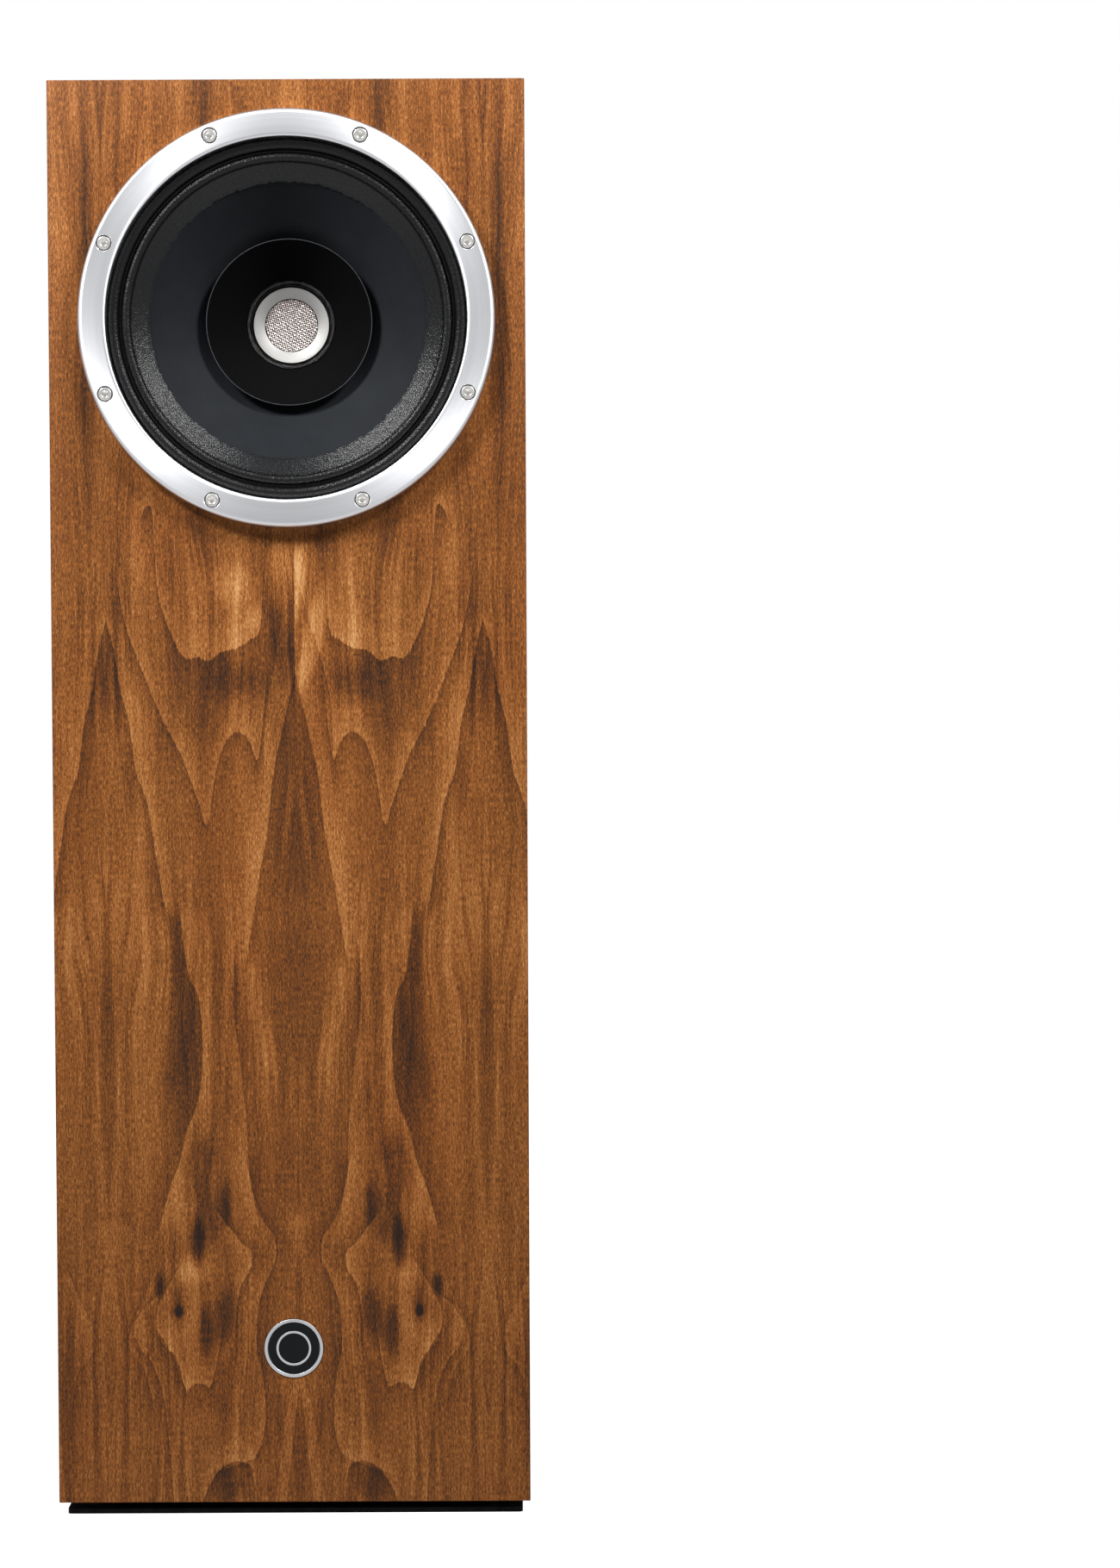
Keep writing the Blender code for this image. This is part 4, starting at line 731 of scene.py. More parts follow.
    def draw_cloud(self, graph: Graph, cloud: Cloud, place: Socket, right: Socket) -> Socket:
        """The tone that one soft patch adds.

        Args:
            graph: the finish's node tree.
            cloud: the patch.
            place: distance from the seam and frayed height.
            right: 1 on the right leaf and 0 on the left one.

        Returns:
            The tone.
        """
        inputs = {
            "Vector": place,
            "Location": (cloud.across, cloud.rise, 0.0),
            "Rotation": (0.0, 0.0, math.radians(-cloud.lean)),
            "Scale": (cloud.wide, cloud.tall, 1.0),
        }
        local = graph.add("Mapping", inputs, vector_type="TEXTURE").outputs[0]
        reach = graph.vector("LENGTH", local).outputs["Value"]
        return self.shown(graph, graph.smooth(reach, cloud.core, 1.0, cloud.tone, 0.0), cloud.half, right)

    def colour(self, graph: Graph, tone: Socket, across: Socket, along: Socket, fine: Socket) -> None:
        """Turn the tone into colour, with pores, redness and an oiled gloss.

        Args:
            graph: the finish's node tree.
            tone: the tone, from 0 to 1.
            across: the place across the grain, in millimetres.
            along: the place along the grain, in millimetres.
            fine: the finest fibres.
        """
        pores = graph.smooth(self.grain(graph, across, along, self.pore_scale, 0.0, 2.0, 0.6), 0.60, 0.74)
        grit = self.grain(graph, across, along, self.grit_scale, 0.0, 3.0, 0.75)
        tone = graph.calc("MULTIPLY_ADD", pores, -self.pore, tone)
        tone = graph.calc("MULTIPLY_ADD", graph.calc("SUBTRACT", grit, 0.5), self.grit, tone)
        base = graph.ramp(tone, WALNUT_TONES)
        warm = graph.smooth(self.grain(graph, across, along, self.warm_scale, 5.0), 0.35, 0.7, 0.0, 0.35)
        tinted = graph.mix(warm, base, daylight(*self.tint), "MULTIPLY")
        graph.surface(Base_Color=tinted, Specular_IOR_Level=0.22)
        graph.surface(Roughness=graph.smooth(fine, 0.3, 0.7, 0.62, 0.52))
        relief = graph.calc("MULTIPLY_ADD", pores, -1.0, fine)
        graph.bump(relief, 0.00006)


# ---------------------------------------------------------------- shaping
def turned(profile: Profile, steps: int, sweep: float = TURN, start: float = 0.0) -> bmesh.types.BMesh:
    """Spin a profile about local Z.

    Args:
        profile: (radius, height) points; a closed one ends where it starts, or on the axis.
        steps: how many steps the whole sweep takes.
        sweep: the angle turned through.
        start: the angle at which the turning starts.

    Returns:
        The turned surface, with its seams and poles merged.
    """
    shape = bmesh.new()
    corners = [shape.verts.new((radius, 0.0, height)) for radius, height in profile]
    edges = [shape.edges.new(pair) for pair in zip(corners, corners[1:])]
    bmesh.ops.rotate(shape, verts=corners, matrix=Matrix.Rotation(start, 3, "Z"))
    whole = abs(sweep - TURN) < 1e-9
    bmesh.ops.spin(
        shape, geom=[*corners, *edges], axis=(0.0, 0.0, 1.0), angle=sweep, steps=steps, use_merge=whole,
    )
    bmesh.ops.remove_doubles(shape, verts=shape.verts, dist=1e-6)
    bmesh.ops.recalc_face_normals(shape, faces=shape.faces)
    return shape


def shell(
    profile: Profile, steps: int, wall: float, sweep: float = TURN, start: float = 0.0,
) -> bmesh.types.BMesh:
    """Spin an open profile, the face that shows, and give it a wall behind that face.

    Args:
        profile: (radius, height) points of the front surface, from outside to inside.
        steps: how many steps the sweep takes.
        wall: the thickness behind the front surface.
        sweep: the angle turned through.
        start: the angle at which the turning starts.

    Returns:
        A closed shell.
    """
    shape = turned(profile, steps, sweep, start)
    if sum(face.normal.z * face.calc_area() for face in shape.faces) < 0.0:
        bmesh.ops.reverse_faces(shape, faces=shape.faces)
    shape.normal_update()
    bmesh.ops.solidify(shape, geom=shape.faces, thickness=wall)
    bmesh.ops.recalc_face_normals(shape, faces=shape.faces)
    return shape


def arc(
    centre: tuple[float, float], radius: float, start: float, end: float, steps: int,
) -> list[tuple[float, float]]:
    """Points on an arc, its angles in degrees from the direction of growing radius.

    Args:
        centre: its middle, as (radius, height).
        radius: its own radius.
        start: the angle of its first point.
        end: the angle of its last point.
        steps: how many steps it takes.

    Returns:
        The points, one more than the steps.
    """
    angles = [math.radians(start + (end - start) * step / steps) for step in range(steps + 1)]
    return [(centre[0] + radius * math.cos(angle), centre[1] + radius * math.sin(angle)) for angle in angles]


def block(low: Vector, high: Vector) -> bmesh.types.BMesh:
    """A box between two corners.

    Args:
        low: its least corner.
        high: its greatest corner.

    Returns:
        The box.
    """
    shape = bmesh.new()
    bmesh.ops.create_cube(shape, size=1.0)
    size = Matrix.Diagonal((*(high - low), 1.0))
    bmesh.ops.transform(shape, matrix=Matrix.Translation((low + high) / 2) @ size, verts=shape.verts)
    return shape


def prism(radius: float, sides: int, low: float, high: float, turn: float = 0.0) -> bmesh.types.BMesh:
    """A prism or cylinder about local Z.

    Args:
        radius: the distance of its corners from the axis.
        sides: how many sides it has.
        low: the height of its foot.
        high: the height of its top.
        turn: how far it is turned about its axis.

    Returns:
        The prism.
    """
    shape = bmesh.new()
    matrix = Matrix.Translation((0.0, 0.0, (low + high) / 2)) @ Matrix.Rotation(turn, 4, "Z")
    bmesh.ops.create_cone(
        shape, cap_ends=True, segments=sides, radius1=radius, radius2=radius, depth=high - low, matrix=matrix,
    )
    return shape


def rounded_plate(width: float, height: float, corner: float, low: float, high: float) -> bmesh.types.BMesh:
    """A plate in the local XY plane with round corners.

    Args:
        width: its size along local X.
        height: its size along local Y.
        corner: the radius of its corners.
        low: its back face's height.
        high: its front face's height.

    Returns:
        The plate.
    """
    shape = block(Vector((-width / 2, -height / 2, low)), Vector((width / 2, height / 2, high)))
    half = (high - low) / 2
    upright = [edge for edge in shape.edges if abs(edge.verts[0].co.z - edge.verts[1].co.z) > half]
    bevel(shape, upright, corner, 8)
    return shape


def bevel(shape: bmesh.types.BMesh, edges: Iterable[bmesh.types.BMEdge], width: float, segments: int) -> None:
    """Round some edges of a shape.

    Args:
        shape: the shape.
        edges: the edges to round.
        width: how far the round reaches.
        segments: how many faces make it.
    """
    bmesh.ops.bevel(
        shape, geom=list(edges), offset=width, offset_type="OFFSET", affect="EDGES", segments=segments,
        profile=0.5, material=-1, clamp_overlap=True,
    )


def rim_edges(shape: bmesh.types.BMesh, height: float) -> list[bmesh.types.BMEdge]:
    """The sharp edges that lie at one height.

    Args:
        shape: the shape.
        height: their height.

    Returns:
        The edges.
    """
    return [
        edge for edge in shape.edges
        if all(abs(end.co.z - height) < 1e-6 for end in edge.verts) and edge.calc_face_angle(0.0) > 0.5
    ]


def moved(shape: bmesh.types.BMesh, matrix: Matrix) -> bmesh.types.BMesh:
    """The same shape, moved."""
    bmesh.ops.transform(shape, matrix=matrix, verts=shape.verts)
    return shape


def repeated(count: int, radius: float, start: float = 0.0) -> list[Matrix]:
    """Places on a circle about local Z, each turned to face outwards."""
    turns = [Matrix.Rotation(start + TURN * index / count, 4, "Z") for index in range(count)]
    return [turn @ Matrix.Translation((radius, 0.0, 0.0)) for turn in turns]


def to_object(name: str, shape: bmesh.types.BMesh) -> bpy.types.Object:
    """A mesh object of a shape, at the origin.

    Args:
        name: the object's name.
        shape: its shape, which is used up.

    Returns:
        The object.
    """
    mesh = bpy.data.meshes.new(name)
    shape.to_mesh(mesh)
    shape.free()
    made = bpy.data.objects.new(name, mesh)
    bpy.context.scene.collection.objects.link(made)
    return made


def from_object(made: bpy.types.Object) -> bmesh.types.BMesh:
    """The evaluated mesh of an object as a shape; the object is removed.

    Args:
        made: the object.

    Returns:
        The shape.
    """
    graph = bpy.context.evaluated_depsgraph_get()
    shape = bmesh.new()
    shape.from_object(made, graph)
    mesh = made.data
    bpy.data.objects.remove(made, do_unlink=True)
    bpy.data.meshes.remove(mesh)
    return shape


def carve(shape: bmesh.types.BMesh, cutters: Iterable[bmesh.types.BMesh]) -> bmesh.types.BMesh:
    """Cut shapes out of another one.

    Args:
        shape: what is cut.
        cutters: closed shapes, which are used up.

    Returns:
        The cut shape.
    """
    body = to_object("carved", shape)
    tools = [to_object(f"cutter_{index}", cutter) for index, cutter in enumerate(cutters)]
    for tool in tools:
        step = body.modifiers.new(tool.name, "BOOLEAN")
        step.operation = "DIFFERENCE"
        step.solver = "EXACT"
        step.object = tool
    result = from_object(body)
    for tool in tools:
        mesh = tool.data
        bpy.data.objects.remove(tool, do_unlink=True)
        bpy.data.meshes.remove(mesh)
    return result


def add_piece(
    name: str,
    shape: bmesh.types.BMesh,
    finish: Finish,
    body: str,
    replaces: Sequence[str] = (),
    sharp: float = 35.0,
) -> bpy.types.Object:
    """Make a finished piece of a shape that is already in place.

    Args:
        name: the piece's name.
        shape: its shape, in the part's frame.
        finish: its finish.
        body: the body that it rides on.
        replaces: the nodes that it stands for.
        sharp: the angle in degrees past which an edge is shaded sharp.

    Returns:
        The piece.
    """
    made = to_object(name, shape)
    made.data.shade_smooth()
    made.data.set_sharp_from_angle(angle=math.radians(sharp))
    made.data.materials.append(finish.material)
    if body:
        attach(made, body)
    if replaces:
        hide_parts(*replaces)
    LOG.info("%s: %d faces in %s", name, len(made.data.polygons), finish.name)
    return made


# ---------------------------------------------------------------- places taken from the frame
FRONT = Vector((0.0, -1.0, 0.0))
REAR = Vector((0.0, 1.0, 0.0))
LEFT = Vector((-1.0, 0.0, 0.0))
RIGHT = Vector((1.0, 0.0, 0.0))
TOP = Vector((0.0, 0.0, 1.0))

CABINET_LOW = Vector((
    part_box("left_side_panel")[0].x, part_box("front_baffle")[0].y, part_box("front_baffle")[0].z,
))
CABINET_HIGH = Vector((
    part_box("right_side_panel")[1].x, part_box("rear_panel")[1].y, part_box("top_panel")[1].z,
))
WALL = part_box("front_baffle")[1].y - CABINET_LOW.y
DRIVER_AXIS = Axis(Vector((0.0, CABINET_LOW.y, centre_of("trim_ring").z)), Facing.LISTENER)
BADGE_AXIS = Axis(Vector((0.0, CABINET_LOW.y, centre_of("badge_bezel").z)), Facing.LISTENER)


def height_in_front(y: float) -> float:
    """The distance of a place in front of the baffle's face."""
    return CABINET_LOW.y - y


# ---------------------------------------------------------------- the face's own figure, and painted sheen on one leaf
FACE_LINES = (
    GrowthLine(Run.ACROSS, (
        (0, 640), (17, 640), (20, 600), (22, 566), (29, 557), (37, 552), (48, 549), (55, 543.5),
        (62, 546), (71, 546), (79, 560), (84, 574), (88, 592), (91, 640), (96, 640),
    ), 0.30, 34.0),
    GrowthLine(Run.UP, (
        (536, 0), (496, 9), (466, 15), (440, 17.5), (406, 23.5), (377, 28), (356, 31.5),
    ), 0.22, 20.0),
    GrowthLine(Run.ACROSS, (
        (20, 512), (22, 494), (24.5, 480), (28, 489), (32, 495.5), (37.6, 497.6), (43, 494),
        (48, 484), (52, 468), (57.5, 438), (61, 449), (66, 463), (72, 480), (86, 508), (98, 538),
        (108, 566), (112, 585),
    ), 0.26, 30.0),
    GrowthLine(Run.UP, (
        (390, 35.4), (406, 33), (431, 29), (446, 27), (462, 22.5), (472, 18.8), (502, 14.7),
        (528, 8.5), (545, 6), (566, 1),
    ), 0.26, 16.0, fold=121.0),
    GrowthLine(Run.UP, (
        (360, 39), (335, 41.2), (311, 40), (290, 37.5), (265, 35), (244, 32.8), (222, 32),
        (205, 30), (184.5, 26.3),
    ), 0.14, 10.0),
    GrowthLine(Run.UP, (
        (377, 74), (343, 70), (325, 63), (283, 61.3), (260, 64.5), (240, 72), (222, 76), (206, 82),
        (184.5, 88),
    ), -0.24, 20.0),
    GrowthLine(Run.UP, (
        (218, 32.5), (200, 29), (181.6, 22.3), (171, 15.3), (161.5, 14.5), (149, 18.5), (135, 24.3),
        (121, 27), (101, 27.4), (82, 23.8), (63, 22.2), (46, 22.8), (31, 27.8), (26, 34),
    ), 0.20, 14.0),
    GrowthLine(Run.UP, (
        (182.5, 47.5), (168, 36.4), (160, 30.1), (152.4, 31), (143, 36.4), (131, 39.4), (105, 41.6),
    ), 0.24, 13.0),
    GrowthLine(Run.ACROSS, (
        (51, 105), (54, 88), (57, 76), (62, 77), (66, 77.5), (70, 76), (73.5, 73.5), (78, 90),
        (84, 100), (90, 109),
    ), 0.24, 22.0),
    GrowthLine(Run.UP, (
        (147.4, 80.4), (137, 86), (121, 92), (111, 91.5), (97, 82.4), (79, 75.4),
    ), -0.18, 9.0),
    GrowthLine(Run.UP, (
        (131.3, 95), (122, 103), (113, 106.6), (105, 105), (89, 94), (66, 87.4), (40, 84.4),
        (0, 81.5),
    ), -0.18, 9.0),
    GrowthLine(Run.UP, (
        (143, 25), (131, 20), (113, 12.5), (105, 11), (85, 21.5), (67, 25.5),
    ), 0.14, 7.0, fold=121.0),
    GrowthLine(Run.UP, ((79, 0), (50, 3.4), (25, 6), (0, 9)), 0.14, 8.0),
    GrowthLine(Run.UP, ((80, 3), (60, 8), (30, 12.5), (0, 16)), -0.12, 6.0),
    GrowthLine(Run.ACROSS, (
        (29, 0), (31, 20), (36, 25.5), (48, 24), (55, 17), (60, 8), (63, 0),
    ), 0.24, 30.0),
    # The pale line on the right leaf and its darker twin on the left are painted sheen, not figure.
    GrowthLine(Run.UP, (
        (600, 1), (570, 9), (540, 18), (515, 23), (490, 24),
    ), 0.16, 12.0, half=Half.RIGHT),
    GrowthLine(Run.UP, ((566, 9), (540, 13), (505, 19), (480, 20)), -0.14, 12.0, half=Half.LEFT),
)
FACE_CLOUDS = (
    # Patches kept to one leaf (Half.LEFT or Half.RIGHT) are painted sheen; the others are the wood's figure.
    Cloud(42, 592, 22, 22, 0.18, half=Half.LEFT),
    Cloud(50, 575, 42, 55, 0.08, core=0.4),
    Cloud(40, 532, 34, 24, -0.24, lean=-12),
    Cloud(57, 508, 20, 34, -0.12),
    Cloud(26, 571, 9, 12, 0.15, half=Half.LEFT),
    Cloud(11, 606, 11, 20, 0.12, half=Half.LEFT),
    Cloud(2, 596, 7, 34, 0.26, lean=6, core=0.3, half=Half.RIGHT),
    Cloud(12, 560, 9, 50, 0.24, lean=13, core=0.3, half=Half.RIGHT),
    Cloud(9, 556, 11, 46, -0.24, lean=12, core=0.2, half=Half.LEFT),
    Cloud(12, 520, 14, 60, -0.10, lean=6, core=0.2, half=Half.LEFT),
    Cloud(2, 600, 6, 18, 0.10, half=Half.LEFT),
    Cloud(0, 588, 6, 52, 0.16, core=0.3, half=Half.RIGHT),
    Cloud(0, 560, 7, 60, -0.20, core=0.3, half=Half.LEFT),
    Cloud(16, 620, 20, 14, -0.14, half=Half.RIGHT),
    Cloud(4, 440, 16, 90, -0.12, core=0.3),
    Cloud(24, 420, 10, 60, 0.07),
    Cloud(102, 420, 12, 70, 0.10, lean=-6),
    Cloud(108, 500, 10, 60, 0.10, lean=-10),
    Cloud(130, 590, 9, 70, 0.12),
    Cloud(101, 610, 10, 60, 0.10),
    Cloud(121, 420, 14, 110, 0.04),
    Cloud(0, 330, 32, 60, -0.10, core=0.4),
    Cloud(0, 250, 30, 70, -0.05, core=0.4),
    Cloud(73, 295, 15, 95, -0.18, core=0.1),
    Cloud(48, 330, 12, 90, 0.04),
    Cloud(122, 285, 7, 110, -0.24, core=0.3),
    Cloud(100, 260, 14, 110, 0.05),
    Cloud(62, 215, 15, 34, -0.18, core=0.3),
    Cloud(0, 178, 9, 18, 0.16),
    Cloud(65.5, 170, 7, 24, -0.40, core=0.2),
    Cloud(56, 186, 14, 30, -0.20, lean=-14, core=0.2),
    Cloud(46, 193, 5, 26, -0.26),
    Cloud(55, 206, 4, 26, 0.20, core=0.2),
    Cloud(79, 190, 7, 34, 0.12),
    Cloud(70, 150, 18, 15, 0.18, core=0.2, half=Half.LEFT),
    Cloud(69, 148, 17, 14, 0.12, half=Half.RIGHT),
    Cloud(77.8, 124.2, 6.5, 9, -0.28),
    Cloud(77.8, 124.2, 3.4, 4.8, -0.50, core=0.3),
    Cloud(47, 122, 10, 30, -0.30, lean=-6, core=0.2),
    Cloud(60, 112, 7, 26, -0.30, core=0.2),
    Cloud(90, 141, 5, 13, -0.34, core=0.1),
    Cloud(80, 112, 10, 24, 0.12, core=0.3),
    Cloud(99, 112, 8, 18, 0.08),
    Cloud(47, 12, 14, 16, -0.16, core=0.4),
    Cloud(50, 60, 10, 40, -0.10),
    Cloud(0, 20, 9, 50, -0.06),
    Cloud(84, 50, 4, 52, -0.14, lean=3),
    Cloud(131, 760, 7, 170, -0.14, core=0.4),
    Cloud(146, 700, 8, 120, -0.08),
    Cloud(0, 905, 26, 40, 0.12),
    Cloud(34, 900, 9, 34, -0.16, lean=20),
    Cloud(140, 120, 10, 30, 0.06),
    Cloud(149, 60, 8, 90, -0.12),
)

FACE_WALNUT = Walnut(
    "walnut_face", "walnut_veneer", foot=CABINET_LOW.z / MM, seam=3.6, lines=FACE_LINES, clouds=FACE_CLOUDS,
    figure=0.05, seed=2.0,
)
LEFT_WALNUT = Walnut(
    "walnut_left", "walnut_veneer", across=tuple(REAR), foot=CABINET_LOW.z / MM, figure=0.16, seed=31.0,
)
RIGHT_WALNUT = Walnut(
    "walnut_right", "walnut_veneer", across=tuple(REAR), foot=CABINET_LOW.z / MM, figure=0.16, seed=47.0,
)
REAR_WALNUT = Walnut("walnut_rear", "walnut_veneer", foot=CABINET_LOW.z / MM, figure=0.16, seed=63.0)
TOP_WALNUT = Walnut("walnut_top", "walnut_veneer", along=tuple(REAR), foot=-152.4, figure=0.14, seed=79.0)

ALUMINIUM = TurnedMetal("ring_aluminium", "brushed_aluminium", (238, 239, 242), DRIVER_AXIS, 0.5, 0.78)
DISH_ALUMINIUM = TurnedMetal("dish_aluminium", "brushed_aluminium", (172, 171, 169), DRIVER_AXIS, 0.6, 0.2)
BADGE_ALUMINIUM = TurnedMetal("badge_aluminium", "brushed_aluminium", (204, 205, 208), BADGE_AXIS, 0.42, 0.3)
SLEEVE_ALUMINIUM = Mottled("sleeve_aluminium", "brushed_aluminium", (214, 215, 218), 0.3, 1.0, 0.4, 0.05)
SCREW_STEEL = Mottled("screw_steel", "polished_steel", (226, 224, 220), 0.34, 1.0, 0.5, 0.08, 0.000004)
BOLT_STEEL = Mottled("bolt_steel", "polished_steel", (180, 180, 182), 0.3, 1.0, 0.6, 0.08)
PLATED_STEEL = Mottled("plated_steel", "plated_steel", (150, 152, 158), 0.38, 1.0, 1.2, 0.08)
POWDER_COAT = Mottled("powder_coat", "black_metal", (9, 9, 10), 0.7, 0.0, 0.5, 0.15, 0.00003, 0.12)
CASTING = Mottled("casting", "black_metal", (26, 26, 28), 0.55, 0.0, 1.0, 0.2, 0.00006)
BLACK_PLASTIC = Mottled("black_plastic", "black_plastic", (20, 20, 21), 0.4, 0.0, 0.7, 0.15)
RED_PLASTIC = Mottled("red_plastic", "red_plastic", (150, 18, 20), 0.35, 0.0, 0.7, 0.1)
FOAM = Mottled("gasket_foam", "black_foam", (24, 24, 25), 0.9, 0.0, 1.0, 0.3, 0.0001)
BARE_BOARD = Mottled("bare_board", "bare_board", (172, 134, 96), 0.75, 0.0, 1.6, 0.16, 0.00005)
FERRITE = Mottled("ferrite", "ferrite", (52, 53, 56), 0.6, 0.0, 0.8, 0.2, 0.00004)
SURROUND_CLOTH = Moulded("surround_cloth", "treated_cloth", (11, 11, 12), 0.27, 0.8, 0.00024, 0.28)
BAND_CLOTH = Moulded("band_cloth", "treated_cloth", (20, 21, 23), 0.25, 0.7, 0.0002, 0.32)
CONE_PAPER = RibbedPaper("cone_paper", "paper_cone", (33, 35, 38), DRIVER_AXIS)
WHIZZER_PAPER = RibbedPaper("whizzer_paper", "black_paper", (6, 6, 7), DRIVER_AXIS, 2.4, 0.00001, 0.85)
# Paler grey than the whizzer's black paper: a painted highlight along its rim.
PAINTED_RIM_HIGHLIGHT = Mottled("painted_rim_highlight", "black_paper", (44, 46, 50), 0.7, 0.0, 0.8, 0.2)
GLUE = Mottled("neck_glue", "black_paper", (6, 6, 6), 0.36, 0.0, 0.5, 0.5, 0.0008)
SPIDER_CLOTH = Moulded("spider_cloth", "resin_cloth", (176, 132, 60), 0.6, 0.6)
# Near-black instead of the film's amber: painted shade of the narrow gap round the tweeter's flange, where
# the former shows.
FORMER_FILM_PAINTED_SHADE = Mottled("former_film", "former_film", (24, 22, 21), 0.25, 0.0, 1.0, 0.1)
COPPER = Mottled("copper_wire", "copper_wire", (196, 110, 66), 0.3, 1.0, 0.4, 0.12)
SCREEN_WIRE = Mottled("screen_wire", "woven_wire", (240, 226, 221), 0.3, 1.0, 0.3, 0.08, 0.000003)
DOME_FOIL = Mottled("dome_foil", "dome_foil", (46, 43, 42), 0.25, 1.0, 1.0, 0.06)
ENAMEL = Mottled("charcoal_enamel", "charcoal_enamel", (16, 18, 21), 0.4, 0.0, 0.6, 0.1, 0.000004, 0.12)
BRASS = Mottled("plated_brass", "plated_brass", (222, 178, 96), 0.22, 1.0, 0.8, 0.06, 0.000004)
LAMINATE = Mottled("board_laminate", "board_laminate", (58, 92, 52), 0.45, 0.0, 1.0, 0.15)
CAPACITOR_FILM = Mottled("capacitor_film", "capacitor_film", (206, 176, 96), 0.3, 0.0, 2.0, 0.08)
CERAMIC = Mottled("resistor_ceramic", "resistor_body", (198, 192, 178), 0.7, 0.0, 0.8, 0.08)
RED_SLEEVE = Mottled("red_sleeve", "red_sleeve", (158, 24, 22), 0.45, 0.0, 1.0, 0.08)
BLACK_SLEEVE = Mottled("black_sleeve", "black_sleeve", (24, 24, 25), 0.45, 0.0, 1.0, 0.12)

INSIDE_FINISHES: dict[str, Finish] = {
    "bottom_panel": BARE_BOARD,
    "lower_brace": BARE_BOARD,
    "middle_brace": BARE_BOARD,
    "vent_tube": BLACK_PLASTIC,
    "driver_frame": CASTING,
    "frame_gasket": FOAM,
    "voice_coil_former": FORMER_FILM_PAINTED_SHADE,
    "voice_coil": COPPER,
    "magnet_top_plate": PLATED_STEEL,
    "magnet_ring": FERRITE,
    "pole_and_back_plate": PLATED_STEEL,
    "tweeter_body": CASTING,
    "filter_board": LAMINATE,
    "filter_capacitor": CAPACITOR_FILM,
    "filter_resistor": CERAMIC,
    "driver_terminal_strip": BLACK_PLASTIC,
    "post_nut_positive": BOLT_STEEL,
    "post_nut_negative": BOLT_STEEL,
    "wire_positive": RED_SLEEVE,
    "wire_negative": BLACK_SLEEVE,
    "tweeter_lead": BLACK_SLEEVE,
    "plinth_plate": POWDER_COAT,
    **{f"plinth_bolt_{number}": BOLT_STEEL for number in range(1, 5)},
}


def dress(node: str, finish: Finish) -> None:
    """Give a node of the frame a finish.

    Args:
        node: the node.
        finish: its finish.
    """
    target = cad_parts[node]
    if not target.material_slots:
        target.data.materials.append(None)
    for material_slot in target.material_slots:
        material_slot.material = finish.material


